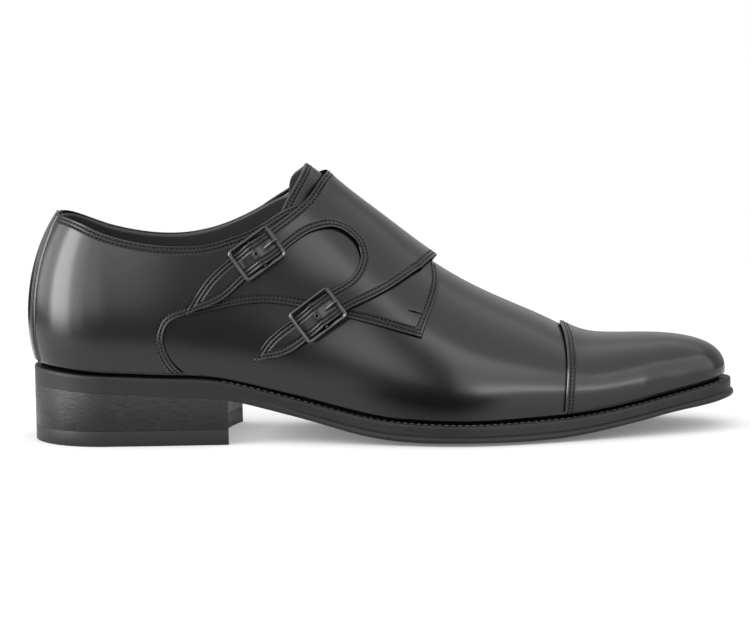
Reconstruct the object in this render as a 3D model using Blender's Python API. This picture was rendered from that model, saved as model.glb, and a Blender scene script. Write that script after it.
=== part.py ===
"""A right-foot double monk strap shoe in smooth leather, built round one last.

The toe points along +X, up is +Z and the buckles are on the -Y side. The floor is Z = 0 and the
heel starts near X = 0. Every size below is in millimetres, and MM turns it into metres.
"""

import math

import bmesh
import bpy
import numpy as np

MM = 0.001

# --- driving sizes -------------------------------------------------------------------------
HEEL_PIVOT = 32.0  # ribs fan round the heel behind this X
TOE_PIVOT = 265.0  # and round the toe ahead of this one
BACK = -18.0  # station of the back seam
TIP = 325.0  # station of the toe tip
GAP = 0.3  # air between pieces that touch on the real shoe
BELLY = 0.15  # girth share between the feather edge and the widest line
WALL = 2.0  # vamp, lining and stiffeners together
SHEET = 1.2  # one folded overlay
STRAP = 1.4  # strap leather with its lining
WELT = 3.0
OUTSOLE_CROWN = 1.3  # the tread's edges stand this much above its middle
CROWN_START = 100.0  # from here on forwards
CROWN_RUN = 55.0
INSOLE = 2.5
INSOLE_BEVEL = 0.6
MARGIN = 12.0  # lasting margin turned in under the insole
TOP_PIECE = 6.6
SIDES = ("outer", "inner")

# One row per rib, heel to toe. sole: from the spine out to the sole's edge on each side; rim: how
# far the upper stands in from that edge; bulge: how far the upper swells past its own foot;
# belly_rise: height of the widest line over the rim; side_full and top_full: section fullness.
RIB_COLUMNS = (
    "station outer_sole inner_sole rim outer_bulge inner_bulge belly_rise top_z "
    "side_full top_full spine_y"
).split()
RIBS = (
    (-18, 32.6, 32.6, 3.0, 3.2, 3.2, 20, 112, 0.56, 0.43, 0.0),
    (7, 32.6, 32.6, 2.8, 2.8, 2.8, 19, 114, 0.56, 0.48, 0.0),
    (32, 32.6, 32.2, 2.6, 2.2, 2.4, 18, 119, 0.55, 0.54, 0.0),
    (60, 33.3, 32.0, 2.6, 2.0, 2.8, 18, 126, 0.55, 0.56, 0.3),
    (85, 33.8, 29.2, 2.6, 2.2, 4.4, 18, 130, 0.52, 0.56, 1.0),
    (110, 36.0, 25.6, 2.6, 2.8, 6.6, 18, 127.5, 0.46, 0.58, 2.2),
    (130, 40.2, 26.4, 2.7, 2.9, 6.8, 17, 109.9, 0.42, 0.60, 3.2),
    (150, 46.4, 32.6, 2.8, 2.6, 5.0, 15, 93.4, 0.42, 0.62, 4.0),
    (170, 52.2, 41.2, 3.4, 2.2, 3.4, 13, 77.6, 0.44, 0.64, 4.6),
    (190, 54.6, 46.6, 3.8, 1.8, 2.4, 12, 64.6, 0.48, 0.64, 4.6),
    (210, 51.6, 47.8, 4.0, 1.6, 2.0, 12, 54.8, 0.52, 0.64, 4.2),
    (228, 46.0, 44.6, 4.0, 1.5, 1.8, 11, 46.4, 0.55, 0.65, 3.2),
    (240, 41.4, 40.4, 4.0, 1.4, 1.6, 10, 40.8, 0.58, 0.66, 2.4),
    (252, 36.9, 36.1, 4.0, 1.3, 1.5, 9, 39.2, 0.62, 0.68, 1.6),
    (265, 32.2, 31.7, 4.3, 1.2, 1.3, 8, 39.2, 0.66, 0.72, 1.0),
    (279, 29.8, 29.6, 4.6, 1.2, 1.2, 7, 39.2, 0.68, 0.76, 1.0),
    (295, 32.0, 31.8, 4.9, 1.2, 1.2, 6, 39.2, 0.70, 0.78, 1.0),
    (310, 38.2, 38.0, 5.8, 1.0, 1.0, 5, 39.2, 0.66, 0.76, 1.0),
    (325, 41.7, 41.7, 6.2, 0.8, 0.8, 4, 39.2, 0.64, 0.74, 1.0),
)

# Side view of the sole: height of its top and of its lower edge along the shoe.
SOLE_COLUMNS = "x top bottom".split()
SOLE_LINE = (
    (0, 32.6, 25.0),
    (20, 31.4, 23.9),
    (42, 30.1, 22.6),
    (62, 29.2, 21.3),
    (78, 28.2, 20.2),
    (90, 25.9, 18.3),
    (103, 22.5, 14.9),
    (122, 17.4, 9.6),
    (140, 12.9, 4.6),
    (155, 10.3, 2.1),
    (168, 9.3, 1.3),
    (190, 8.8, 1.2),
    (222, 9.6, 1.3),
    (238, 10.5, 2.5),
    (251, 12.1, 4.5),
    (264, 14.3, 6.8),
    (276, 16.5, 9.1),
    (288, 18.7, 10.8),
    (300, 20.7, 12.5),
    (307, 21.5, 13.3),
)


def spline(rows, columns, name, key):
    """Smooth curve through one column of a table, level at both ends."""
    x = np.array([row[columns.index(key)] for row in rows], float)
    y = np.array([row[columns.index(name)] for row in rows], float)
    return level_spline(x, y)


def level_spline(x, y, level_ends=True):
    """Cubic spline with continuous curvature through (x, y), as a function of arrays."""
    h = np.diff(x)
    slope = np.diff(y) / h
    n = len(x)
    matrix = np.zeros((n, n))
    right = np.zeros(n)
    for i in range(1, n - 1):
        matrix[i, i - 1 : i + 2] = h[i], 2 * (h[i - 1] + h[i]), h[i - 1]
        right[i] = 3 * (h[i] * slope[i - 1] + h[i - 1] * slope[i])
    matrix[0, 0] = matrix[-1, -1] = 1
    if not level_ends:
        matrix[0, :2] = 2, 1
        matrix[-1, -2:] = 1, 2
        right[0], right[-1] = 3 * slope[0], 3 * slope[-1]
    d = np.linalg.solve(matrix, right)

    def value(at):
        at = np.clip(np.asarray(at, float), x[0], x[-1])
        i = np.clip(np.searchsorted(x, at, side="right") - 1, 0, n - 2)
        t = (at - x[i]) / h[i]
        a = y[i] * (1 + 2 * t) * (1 - t) ** 2 + y[i + 1] * t * t * (3 - 2 * t)
        b = d[i] * t * (1 - t) ** 2 - d[i + 1] * t * t * (1 - t)
        return a + b * h[i]

    return value


RIB = {name: spline(RIBS, RIB_COLUMNS, name, "station") for name in RIB_COLUMNS[1:]}
SOLE = {name: spline(SOLE_LINE, SOLE_COLUMNS, name, "x") for name in SOLE_COLUMNS[1:]}


# --- the last ------------------------------------------------------------------------------
def rib_plan(s, side):
    """Foot of the rib on the spine, and the rib's direction, both in plan."""
    s = np.asarray(s, float)
    heel_turn = np.clip((HEEL_PIVOT - s) / (HEEL_PIVOT - BACK), 0, 1)
    toe_turn = np.clip((s - TOE_PIVOT) / (TIP - TOE_PIVOT), 0, 1)
    angle = math.pi / 2 * (1 + heel_turn - toe_turn)
    x = np.clip(s, HEEL_PIVOT, TOE_PIVOT)
    foot = np.stack([x, RIB["spine_y"](x)], -1)
    sign = -1.0 if side == "outer" else 1.0
    return foot, np.stack([np.cos(angle), sign * np.sin(angle)], -1)


def plan_point(s, side, reach):
    """Point in plan at a distance out from the spine."""
    foot, way = rib_plan(s, side)
    return foot + way * np.asarray(reach, float)[..., None]


def feather(s, side):
    """Reach and height of the upper's foot."""
    reach = RIB[side + "_sole"](s) - RIB["rim"](s)
    return reach, SOLE["top"](plan_point(s, side, reach)[..., 0]) + GAP


def last_point(s, v, side):
    """Point on the last: s along the shoe, v from the feather edge (0) to the ridge (1)."""
    s, v = np.broadcast_arrays(np.asarray(s, float), np.asarray(v, float))
    foot_reach, foot_z = feather(s, side)
    wide = foot_reach + RIB[side + "_bulge"](s)
    wide_z = foot_z + RIB["belly_rise"](s)
    top_z = RIB["top_z"](np.minimum(s, TOE_PIVOT))
    low = np.clip(v / BELLY, 0, 1)
    t = np.clip((v - BELLY) / (1 - BELLY), 0, 1)
    reach_low = wide - (wide - foot_reach) * (1 - low) ** 2
    z_low = foot_z + (wide_z - foot_z) * low
    b0, b1, b2, b3 = (1 - t) ** 3, 3 * (1 - t) ** 2 * t, 3 * (1 - t) * t * t, t**3
    reach_high = wide * (b0 + b1 + b2 * RIB["top_full"](s))
    side_z = wide_z + RIB["side_full"](s) * (top_z - wide_z)
    z_high = wide_z * b0 + side_z * b1 + top_z * (b2 + b3)
    reach = np.where(v < BELLY, reach_low, reach_high)
    z = np.where(v < BELLY, z_low, z_high)
    return np.concatenate([plan_point(s, side, reach), z[..., None]], -1)


def last_normal(s, v, side):
    """Outward unit normal of the last."""
    s, v = np.broadcast_arrays(np.asarray(s, float), np.asarray(v, float))
    ds, dv = 0.05, 0.001
    v0, v1 = np.clip(v - dv, 0, 1 - 2 * dv), np.clip(v + dv, 2 * dv, 1)
    s0, s1 = np.clip(s - ds, BACK, TIP), np.clip(s + ds, BACK, TIP)
    inside = np.clip(v, 0, 0.995)
    along = last_point(s1, inside, side) - last_point(s0, inside, side)
    up = last_point(s, v1, side) - last_point(s, v0, side)
    normal = np.cross(along, up) * (1.0 if side == "outer" else -1.0)
    # On the ridge the two sides share one normal, square to the ridge line.
    r1 = np.clip(s, HEEL_PIVOT + ds, TOE_PIVOT)
    ridge = last_point(r1, np.ones_like(v), side) - last_point(r1 - ds, np.ones_like(v), side)
    shared = np.stack([-ridge[..., 2], np.zeros_like(v), ridge[..., 0]], -1)
    normal = np.where(v[..., None] > 1 - 1e-6, shared, normal)
    # At the back seam and the toe tip they meet in one plane.
    ends = (s < BACK + 1e-3) | (s > TIP - 1e-3)
    normal[..., 1] = np.where(ends, 0.0, normal[..., 1])
    return normal / np.linalg.norm(normal, axis=-1, keepdims=True)


def skin(s, v, side, offset):
    """Point that stands off the last."""
    return last_point(s, v, side) + last_normal(s, v, side) * np.asarray(offset, float)[..., None]


def share_at(s, z, side):
    """Girth share v at which the last reaches height z at station s."""
    low, high = np.zeros_like(np.asarray(s, float)), np.ones_like(np.asarray(s, float))
    for _ in range(40):
        mid = (low + high) / 2
        below = last_point(s, mid, side)[..., 2] < z
        low, high = np.where(below, mid, low), np.where(below, high, mid)
    return (low + high) / 2


# --- meshes --------------------------------------------------------------------------------
def stations(step, *fixed):
    """Stations from the back seam to the toe tip, about one step apart, through the fixed ones."""
    stops = sorted({BACK, HEEL_PIVOT, TOE_PIVOT, TIP, *fixed})
    runs = []
    for start, end in zip(stops[:-1], stops[1:]):
        runs.append(np.linspace(start, end, max(1, round((end - start) / step)) + 1)[:-1])
    return np.concatenate([*runs, [TIP]])


def loft(bm, rows, around=False):
    """Quads between the points of neighbouring rows. around: the last row meets the first."""
    made = [[bm.verts.new(point * MM) for point in row] for row in rows]
    count = len(made)
    for i in range(count if around else count - 1):
        first, second = made[i], made[(i + 1) % count]
        for j in range(len(first) - 1):
            bm.faces.new((first[j], second[j], second[j + 1], first[j + 1]))
    return made


def finish(name, bm, finish_values):
    """Weld, turn the faces outwards and make the named object."""
    bmesh.ops.remove_doubles(bm, verts=bm.verts, dist=0.002 * MM)
    bmesh.ops.dissolve_degenerate(bm, edges=bm.edges, dist=0.001 * MM)
    bmesh.ops.recalc_face_normals(bm, faces=bm.faces)
    mesh = bpy.data.meshes.new(name)
    bm.to_mesh(mesh)
    bm.free()
    body = bpy.data.objects.new(name, mesh)
    bpy.context.scene.collection.objects.link(body)
    colour, roughness, metallic = finish_values
    material = bpy.data.materials.new(name)
    material.use_nodes = True
    shader = material.node_tree.nodes["Principled BSDF"]
    shader.inputs["Base Color"].default_value = (*colour, 1.0)
    shader.inputs["Roughness"].default_value = roughness
    shader.inputs["Metallic"].default_value = metallic
    mesh.materials.append(material)
    mesh.shade_smooth()
    mesh.set_sharp_from_angle(angle=math.radians(35))
    return body


LEATHER = ((0.018, 0.018, 0.019), 0.35, 0.0)
RUBBER = ((0.016, 0.016, 0.017), 0.6, 0.0)
STACK = ((0.02, 0.02, 0.021), 0.5, 0.0)
LINING = ((0.03, 0.03, 0.032), 0.7, 0.0)
GUNMETAL = ((0.05, 0.05, 0.055), 0.3, 1.0)


def both_ways(s):
    """Every rib once: the outer side from back to tip, then the inner side from tip to back."""
    return [(at, "outer") for at in s] + [(at, "inner") for at in s[-2:0:-1]]


def plate_point(s, side, reach, height):
    """Point of a plate that follows the sole: height is a function of X."""
    plan = plan_point(np.array(s), side, np.array(reach))
    return np.array([plan[0], plan[1], float(height(plan[0]))])


# --- sole ----------------------------------------------------------------------------------
SOLE_STEP = 10.0
FLAT_SHARE = 0.62  # share of the half width that lies flat on the floor
WELT_CHAMFER = 0.5
WELT_UNDER = 13.0  # how far the welt runs in under the upper
WELT_STEP = 1.2  # the welt stands in this far from the outsole's edge
STEP_START = 85.0  # that step begins here, in front of the heel
STEP_END = 140.0  # and is full from here on
EDGE_LINE = 0.62  # heights on the outsole's side, as shares from its lower edge up to its top
EDGE_SWELL = 0.35
EDGE_ROUND = 0.7
EDGE_LIFT = 0.2  # its lower edge over the sole line


def welt_top(x):
    return SOLE["top"](x)


def outsole_top(x):
    return welt_top(x) - WELT - GAP


def edge_height(x, share):
    """Height on the outsole's side, from its lower edge up to its top."""
    low = SOLE["bottom"](x) + EDGE_LIFT
    return low + (outsole_top(x) - low) * share


def tread(x):
    """Underside along the middle: level on the floor at the ball of the foot."""
    crown = OUTSOLE_CROWN * np.clip((x - CROWN_START) / CROWN_RUN, 0, 1)
    return np.maximum(SOLE["bottom"](x) - crown, 0.0)


def step_in(s):
    """How far the welt's edge stands in from the outsole's: flush round the heel, a step ahead."""
    ahead = np.clip((s - STEP_START) / (STEP_END - STEP_START), 0, 1)
    return WELT_STEP * ahead * ahead * (3 - 2 * ahead)


def build_welt():
    """Stitched rim between outsole and upper, all the way round."""
    bm = bmesh.new()
    rows = []
    for s, side in both_ways(stations(SOLE_STEP)):
        edge = float(RIB[side + "_sole"](s)) - float(step_in(s))
        inside = edge - float(RIB["rim"](s)) - WELT_UNDER
        profile = (
            (inside, -WELT),
            (inside, 0.0),
            (edge - WELT_CHAMFER, 0.0),
            (edge, -WELT_CHAMFER),
            (edge, -WELT),
            (inside, -WELT),
        )
        rows.append([plate_point(s, side, r, lambda x, d=d: welt_top(x) + d) for r, d in profile])
    loft(bm, rows, around=True)
    return finish("welt", bm, RUBBER)


def build_outsole():
    """Long sole from heel to toe with a rounded edge and a flat tread under the ball."""
    bm = bmesh.new()
    rows = []
    for s, side in both_ways(stations(SOLE_STEP)):
        edge = float(RIB[side + "_sole"](s))
        ledge = edge - float(step_in(s))
        rows.append(
            [
                plate_point(s, side, 0.0, outsole_top),
                plate_point(s, side, ledge, outsole_top),
                plate_point(s, side, ledge, lambda x: edge_height(x, EDGE_LINE)),
                plate_point(s, side, edge, lambda x: edge_height(x, EDGE_SWELL)),
                plate_point(s, side, edge - EDGE_ROUND, lambda x: edge_height(x, 0.0)),
                plate_point(s, side, edge * FLAT_SHARE, tread),
                plate_point(s, side, 0.0, tread),
            ]
        )
    loft(bm, rows, around=True)
    return finish("outsole", bm, RUBBER)


# --- heel ----------------------------------------------------------------------------------
BREAST = 87.3  # X of the heel's front corners, outer side a little behind the inner
BREAST_START = 45.0  # the lifts begin to lean towards the breast's shape here
BREAST_HOLLOW = 5.5
HEEL_FLARE = 0.6  # the lifts stand out this far past the sole's edge
BREAST_SWING = 2.0
HEEL_ROWS = (0.0, 0.4, 0.75, 0.93, 1.0)


def heel_point(s, side, share, inset, height):
    """Point of a heel lift; the front is drawn back into a hollow breast."""
    reach = (float(RIB[side + "_sole"](s)) - inset) * share
    plan = plan_point(np.array(s), side, np.array(reach))
    lean = max(0.0, (s - BREAST_START) / (BREAST - BREAST_START)) ** 2
    sign = -1.0 if side == "outer" else 1.0
    x = plan[0] + lean * (BREAST_SWING * share * sign - BREAST_HOLLOW * (1 - share**2))
    return np.array([x, plan[1], float(height(x))])


def build_lift(name, low, high, inset):
    """One D-shaped lift between two heights, each a function of X."""
    bm = bmesh.new()
    along = np.concatenate([np.linspace(BACK, HEEL_PIVOT, 7), np.linspace(38, BREAST, 6)])
    ways = [(s, "outer") for s in along[::-1]] + [(s, "inner") for s in along[1:]]
    shares = HEEL_ROWS
    for height in (low, high):
        loft(bm, [[heel_point(s, side, f, inset, height) for f in shares] for s, side in ways])
    rim = [(s, side, 1.0) for s, side in ways]
    front = [(BREAST, "inner", f) for f in shares[-2::-1]] + [(BREAST, "outer", f) for f in shares[1:]]
    wall = [[heel_point(s, side, f, inset, h) for h in (low, high)] for s, side, f in rim + front[:-1]]
    loft(bm, wall, around=True)
    return finish(name, bm, STACK if name == "heel_stack" else RUBBER)


def build_heel():
    top_of_stack = lambda x: np.minimum(tread(x), SOLE["bottom"](x)) - GAP
    build_lift("top_piece", lambda x: 0.0, lambda x: TOP_PIECE, -HEEL_FLARE)
    build_lift("heel_stack", lambda x: TOP_PIECE + GAP, top_of_stack, -HEEL_FLARE)


# --- insole --------------------------------------------------------------------------------
def build_insole():
    """Board inside the upper, on its lasting margin."""
    low = lambda x: SOLE["top"](x) + GAP + WALL + GAP
    high = lambda x: low(x) + INSOLE
    bm = bmesh.new()
    rows = []
    for s, side in both_ways(stations(SOLE_STEP)):
        edge = float(feather(s, side)[0]) - WALL - 2 * GAP
        profile = ((0.0, high), (edge - INSOLE_BEVEL, high), (edge, low), (0.0, low))
        rows.append([plate_point(s, side, r, h) for r, h in profile])
    loft(bm, rows, around=True)
    return finish("insole", bm, LINING)


# --- upper ---------------------------------------------------------------------------------
# Height of the top line along each side, from the back seam down to the ankle and up to the throat.
THROAT_END = 166.0
TOP_LINE = {
    "outer": (
        (-18, 98.8),
        (7, 97.9),
        (20, 96.0),
        (33, 91.8),
        (49, 87.8),
        (66, 86.2),
        (78, 86.9),
        (88, 89.6),
        (99, 93.8),
        (108, 99.2),
        (119, 102.6),
        (131, 100.4),
        (145, 91.6),
        (156, 84.6),
    ),
    "inner": (
        (-18, 98.8),
        (7, 97.2),
        (20, 94.1),
        (33, 90.0),
        (47, 86.8),
        (62, 85.7),
        (78, 88.1),
        (90, 92.5),
        (100, 97.6),
        (109, 102.4),
        (119, 104.2),
        (131, 101.4),
        (145, 92.2),
        (156, 84.8),
    ),
}
LEVELS = (0.0, 0.07, 0.15, 0.27, 0.4, 0.53, 0.66, 0.77, 0.86, 0.93, 1.0)
UPPER_STEP = 9.0
FOOT_LIFT = 1.5  # overlays stop this far above the upper's foot


def top_share(side):
    """Girth share of the top line as a function of station; 1 ahead of the throat."""
    s = np.array([row[0] for row in TOP_LINE[side]], float)
    share = share_at(s, np.array([row[1] for row in TOP_LINE[side]], float), side)
    line = level_spline(np.append(s, THROAT_END), np.append(share, 1.0), level_ends=False)
    return lambda at: np.where(np.asarray(at) < THROAT_END - 1e-6, np.clip(line(at), 0, 1), 1.0)


TOP_SHARE = {side: top_share(side) for side in SIDES}


def build_upper():
    """Vamp and quarters lasted as one shell: open at the top line and throat, and underneath."""
    bm = bmesh.new()
    along = stations(UPPER_STEP, THROAT_END)
    ways = both_ways(along)
    levels = np.array(LEVELS)
    margin_low = lambda x: SOLE["top"](x) + GAP
    margin_high = lambda x: margin_low(x) + WALL
    rows = []
    for s, side in ways:
        share = levels * float(TOP_SHARE[side](s))
        outside = skin(np.full(len(share), s), share, side, np.zeros(len(share)))
        inside = skin(np.full(len(share), s), share, side, np.full(len(share), -WALL))
        foot = float(feather(s, side)[0])
        lip = [
            plate_point(s, side, foot - WALL, margin_high),
            plate_point(s, side, foot - MARGIN, margin_high),
            plate_point(s, side, foot - MARGIN, margin_low),
        ]
        rows.append([*inside[:0:-1], *lip, *outside])
    rim_row = len(rows[0]) - 1
    closed = [s >= THROAT_END - 1e-6 for s, _ in ways]
    loft(bm, rows, around=True)
    made = len(rows)
    bm.verts.ensure_lookup_table()
    size = len(rows[0])
    for i in range(made):
        k = (i + 1) % made
        if not (closed[i] and closed[k]):
            first, last = bm.verts[i * size], bm.verts[i * size + rim_row]
            first_next, last_next = bm.verts[k * size], bm.verts[k * size + rim_row]
            corners = (last, last_next, first_next, first)
            bm.faces.new(corners)
    return finish("upper", bm, LEATHER)


# --- flat patterns, laid on the last -------------------------------------------------------
# A pattern lives on a flat chart of the last: (station, turn). turn runs from -1 at the outer
# feather edge over 0 on the ridge to 1 at the inner feather edge.
LAP = 0.55  # air under a sheet; its flat facets use up part of it
TURN_LENGTH = 100.0  # one unit of turn is about this long, for spacing points along an edge


def chart_point(s, turn, offset):
    """Point off the last at a chart position."""
    share = 1 - np.abs(turn)
    outer = skin(s, share, "outer", offset)
    inner = skin(s, share, "inner", offset)
    return np.where((turn < 0)[..., None], outer, inner)


def chart_of(s, share, side):
    turn = np.asarray(share) - 1
    return np.stack([np.asarray(s, float), turn if side == "outer" else -turn], -1)


def on(side, *places):
    """Chart points of places given by station and height on one side."""
    s = np.array([place[0] for place in places], float)
    z = np.array([place[1] for place in places], float)
    return chart_of(s, share_at(s, z, side), side)


def on_ridge(s):
    return np.array([[s, 0.0]])


def top_edge(side, start, end, count):
    """Run along the upper's top line."""
    s = np.linspace(start, end, count + 1)
    return chart_of(s, TOP_SHARE[side](s), side)


def foot_edge(side, start, end, count):
    """Run just above the upper's foot."""
    s = np.linspace(start, end, count + 1)
    return chart_of(s, share_at(s, feather(s, side)[1] + FOOT_LIFT, side), side)


def through(groups, counts):
    """Smooth run through all points, with a set number of steps up to the end of each group."""
    points = np.concatenate(groups)
    lengths = np.linalg.norm(np.diff(points, axis=0) * (1, TURN_LENGTH), axis=1)
    at = np.concatenate([[0], np.cumsum(lengths)])
    ends = np.cumsum([len(group) for group in groups]) - 1
    stops = [at[0], *at[ends[1:]]] if len(groups[0]) == 1 else [at[0], *at[ends]]
    t = [at[0]]
    for start, end, count in zip(stops[:-1], stops[1:], counts):
        t.extend(np.linspace(start, end, count + 1)[1:])
    curves = [level_spline(at, points[:, k], level_ends=False) for k in (0, 1)]
    return np.stack([curve(np.array(t)) for curve in curves], -1)


def chain(*runs):
    """One edge from runs that meet end to end."""
    return np.concatenate([runs[0], *[run[1:] for run in runs[1:]]])


def patch(top, bottom, first, last):
    """Grid of chart points between four edges: top and bottom run along, first and last across."""
    u = np.linspace(0, 1, len(top))[:, None, None]
    w = np.linspace(0, 1, len(first))[None, :, None]
    along = (1 - w) * top[:, None] + w * bottom[:, None]
    across = (1 - u) * first[None] + u * last[None]
    near = (1 - w) * top[0] + w * bottom[0]
    far = (1 - w) * top[-1] + w * bottom[-1]
    return along + across - (1 - u) * near - u * far


def straight(start, end, count):
    return start + (end - start) * np.linspace(0, 1, count + 1)[:, None]


def lay(name, patches, low, high, values, seam=None, shape=None):
    """Sew patches flat, give them a thickness and lay them on the last.

    low and high are offsets as functions of chart arrays; seam is a station at which the two
    sides of the pattern meet again; shape adds a rise as a function of the points.
    """
    bm = bmesh.new()
    for grid in patches:
        rows = [[np.array([s, turn * TURN_LENGTH, 0.0]) for s, turn in row] for row in grid]
        loft(bm, rows)
    bmesh.ops.remove_doubles(bm, verts=bm.verts, dist=0.005 * MM)
    bottom = list(bm.verts)
    made = bmesh.ops.extrude_face_region(bm, geom=list(bm.faces), use_keep_orig=True)["geom"]
    top = [item for item in made if isinstance(item, bmesh.types.BMVert)]
    if seam is not None:
        walls = [f for f in bm.faces if all(abs(v.co.x / MM - seam) < 1e-3 for v in f.verts)]
        bmesh.ops.delete(bm, geom=walls, context="FACES")
    for verts, offset in ((bottom, low), (top, high)):
        flat = np.array([vert.co for vert in verts]) / MM
        s, turn = flat[:, 0], flat[:, 1] / TURN_LENGTH
        height = offset(s, turn)
        if shape is not None:
            height = height + shape(chart_point(s, turn, np.zeros(len(s))), turn)
        for vert, point in zip(verts, chart_point(s, turn, height)):
            vert.co = point * MM
    return finish(name, bm, values)


def level(value):
    return lambda s, turn: np.full(len(s), value)


# --- tongue --------------------------------------------------------------------------------
TONGUE_TOP = 120.6  # station of its tip on the ridge
TONGUE_FRONT = 176.0
TONGUE_HALF_TURN = 0.48
TONGUE_FALL = {"outer": (20.0, 0.45, 2.6), "inner": (7.6, 0.22, 3.0)}  # depth, width, sharpness
TONGUE_THICK = 1.8
TONGUE_ROOM = 1.5  # air to the wall over it, which bends round the instep in flat facets
TONGUE_RISE = 4.2  # how far it stands up out of the throat, behind the flap
TONGUE_RISE_END = 106.0  # the rise grows from nothing at this station
TONGUE_RISE_BACK = 126.0  # to all of it here
TONGUE_RISE_FRONT = 150.0  # and none of it ahead of this one
TONGUE_COLUMNS = 17
TONGUE_ROWS = 10


def tongue_top(turn):
    """Station of its top edge, which falls back down both sides of the instep."""
    falls = []
    for side in SIDES:
        depth, width, sharpness = TONGUE_FALL[side]
        falls.append(depth * (1 - np.exp(-((np.abs(turn) / width) ** sharpness))))
    return TONGUE_TOP - np.where(turn < 0, falls[0], falls[1])


def tongue_low(s, turn):
    """Underside: deep under the throat, and up in its opening behind the flap."""
    share = np.where(turn < 0, TOP_SHARE["outer"](s), TOP_SHARE["inner"](s))
    opening = np.maximum(1.0 - share, 0.01)
    inside = np.clip(1 - (turn / opening) ** 2, 0, 1) ** 2
    span = TONGUE_RISE_FRONT - TONGUE_RISE_BACK
    back = np.clip((TONGUE_RISE_FRONT - s) / span, 0, 1)
    end = np.clip((s - TONGUE_RISE_END) / (TONGUE_RISE_BACK - TONGUE_RISE_END), 0, 1)
    rise = TONGUE_RISE * inside * end * back * back * (3 - 2 * back)
    return rise - WALL - TONGUE_ROOM - TONGUE_THICK


def build_tongue():
    """Leaf under the throat, arched over the instep, with its round top standing out."""
    across = np.linspace(-1, 1, TONGUE_COLUMNS)
    turn = TONGUE_HALF_TURN * np.sign(across) * np.abs(across) ** 1.3
    share = np.linspace(0, 1, TONGUE_ROWS)[:, None]
    s = tongue_top(turn) * (1 - share) + TONGUE_FRONT * share
    grid = np.stack([s, np.broadcast_to(turn, s.shape)], -1)
    high = lambda s, turn: tongue_low(s, turn) + TONGUE_THICK
    return lay("tongue", [grid], tongue_low, high, LEATHER)


# --- toe cap -------------------------------------------------------------------------------
CAP_EDGE = 230.0
CAP_BOW = 1.6  # the cap's edge bows forward this much half way down the side


def build_toe_cap():
    """Straight cap over the toe, from foot edge to foot edge."""
    turn = np.linspace(-1, 1, 19)
    rows = np.linspace(0, 1, 12)[:, None]
    edge = CAP_EDGE + CAP_BOW * np.sin(math.pi * np.abs(turn))
    s = edge * (1 - rows) + TIP * rows
    side = np.where(turn < 0, "outer", "inner")
    foot = np.where(
        side == "outer",
        share_at(s, feather(s, "outer")[1] + FOOT_LIFT, "outer"),
        share_at(s, feather(s, "inner")[1] + FOOT_LIFT, "inner"),
    )
    grid = np.stack([s, turn * (1 - foot)], -1)
    return lay("toe_cap", [grid], level(LAP), level(LAP + SHEET), LEATHER, seam=TIP)


# --- backstay ------------------------------------------------------------------------------
BACKSTAY_EDGE = -3.5  # station of its two side edges
BACKSTAY_THICK = 1.6


def build_backstay():
    """Strip over the back seam, from the foot to the top line."""
    grids = []
    for side in SIDES:
        top = top_edge(side, BACKSTAY_EDGE, BACK, 3)
        foot = foot_edge(side, BACKSTAY_EDGE, BACK, 3)
        grids.append(patch(top, foot, straight(top[0], foot[0], 8), straight(top[-1], foot[-1], 8)))
    high = LAP + BACKSTAY_THICK
    return lay("backstay", grids, level(LAP), level(high), LEATHER, seam=BACK)


# --- outer quarter -------------------------------------------------------------------------
QUARTER_BACK = BACKSTAY_EDGE + 0.6
FACING_TOP = (175.5, 72.6)  # where its front edge slips under the flap
FACING_CORNER = (169.0, 46.2)


def build_quarter_outer():
    """Panel from the back to the facing that carries the buckles, lapped over the vamp."""
    rows = 9
    top = chain(
        top_edge("outer", QUARTER_BACK, 16, 6),
        top_edge("outer", 16, 25, 3),
        top_edge("outer", 25, 70, 6),
        top_edge("outer", 70, 150, 11),
        through([on("outer", (150, 88.4)), on("outer", (163, 79.8), FACING_TOP)], [3]),
    )
    loop = on("outer", (62.8, 34.8), (59.6, 40.0), (58.2, 46.0), (59.7, 51.8), (67.5, 56.3))
    bottom = chain(
        foot_edge("outer", QUARTER_BACK, HEEL_PIVOT, 6),
        foot_edge("outer", HEEL_PIVOT, 66.5, 3),
        through(
            [
                foot_edge("outer", 66.5, 66.5, 0),
                loop,
                on("outer", (79, 58.5), (98, 61.4), (115, 59.8), (140, 54.2), FACING_CORNER),
            ],
            [6, 14],
        ),
    )
    front = through(
        [
            on("outer", FACING_TOP),
            on("outer", (176.9, 67.9), (175.4, 61.2), (172.5, 54.8), FACING_CORNER),
        ],
        [rows],
    )
    grid = patch(top, bottom, straight(top[0], bottom[0], rows), front)
    return lay("quarter_outer", [grid], level(LAP), level(LAP + SHEET), LEATHER)


# --- buckles -------------------------------------------------------------------------------
BUCKLES = (
    ("upper", 99.2, 82.0, 90.4, 76.0, 108.0, 88.1),
    ("lower", 125.4, 55.8, 116.8, 49.5, 134.0, 62.1),
)
STRAP_WIDTH = 11.6
FRAME_LENGTH = 21.4  # along the strap, over all
FRAME_WIDTH = 16.2
FRAME_BAR = 1.7
FRAME_THICK = 1.6
FRAME_CORNER = 2.2
FRAME_CORNER_STEPS = 4
FRAME_SECTION = (  # half widths of the bar and shares of its thickness, round its section
    (-1, 0.0),
    (1, 0.0),
    (1, 0.7),
    (0.55, 1.0),
    (-0.55, 1.0),
    (-1, 0.7),
    (-1, 0.0),
)
BAR_SIDES = 8
STRAP_LOW = LAP + SHEET + LAP  # the strap's underside over the quarter
FRAME_LOW = STRAP_LOW + STRAP + LAP
BAR_RADIUS = 0.7
BAR_HEIGHT = FRAME_LOW - 0.2
HUMP_HALF = 8.6  # half length of the strap's rise over the centre bar
HUMP_HALF_WIDTH = 9.5
HUMP = BAR_HEIGHT + BAR_RADIUS + GAP - STRAP_LOW
PRONG_RADIUS = 0.7
PRONG_SIDES = 8
PRONG_REST = FRAME_LOW + FRAME_THICK + GAP + PRONG_RADIUS
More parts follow.
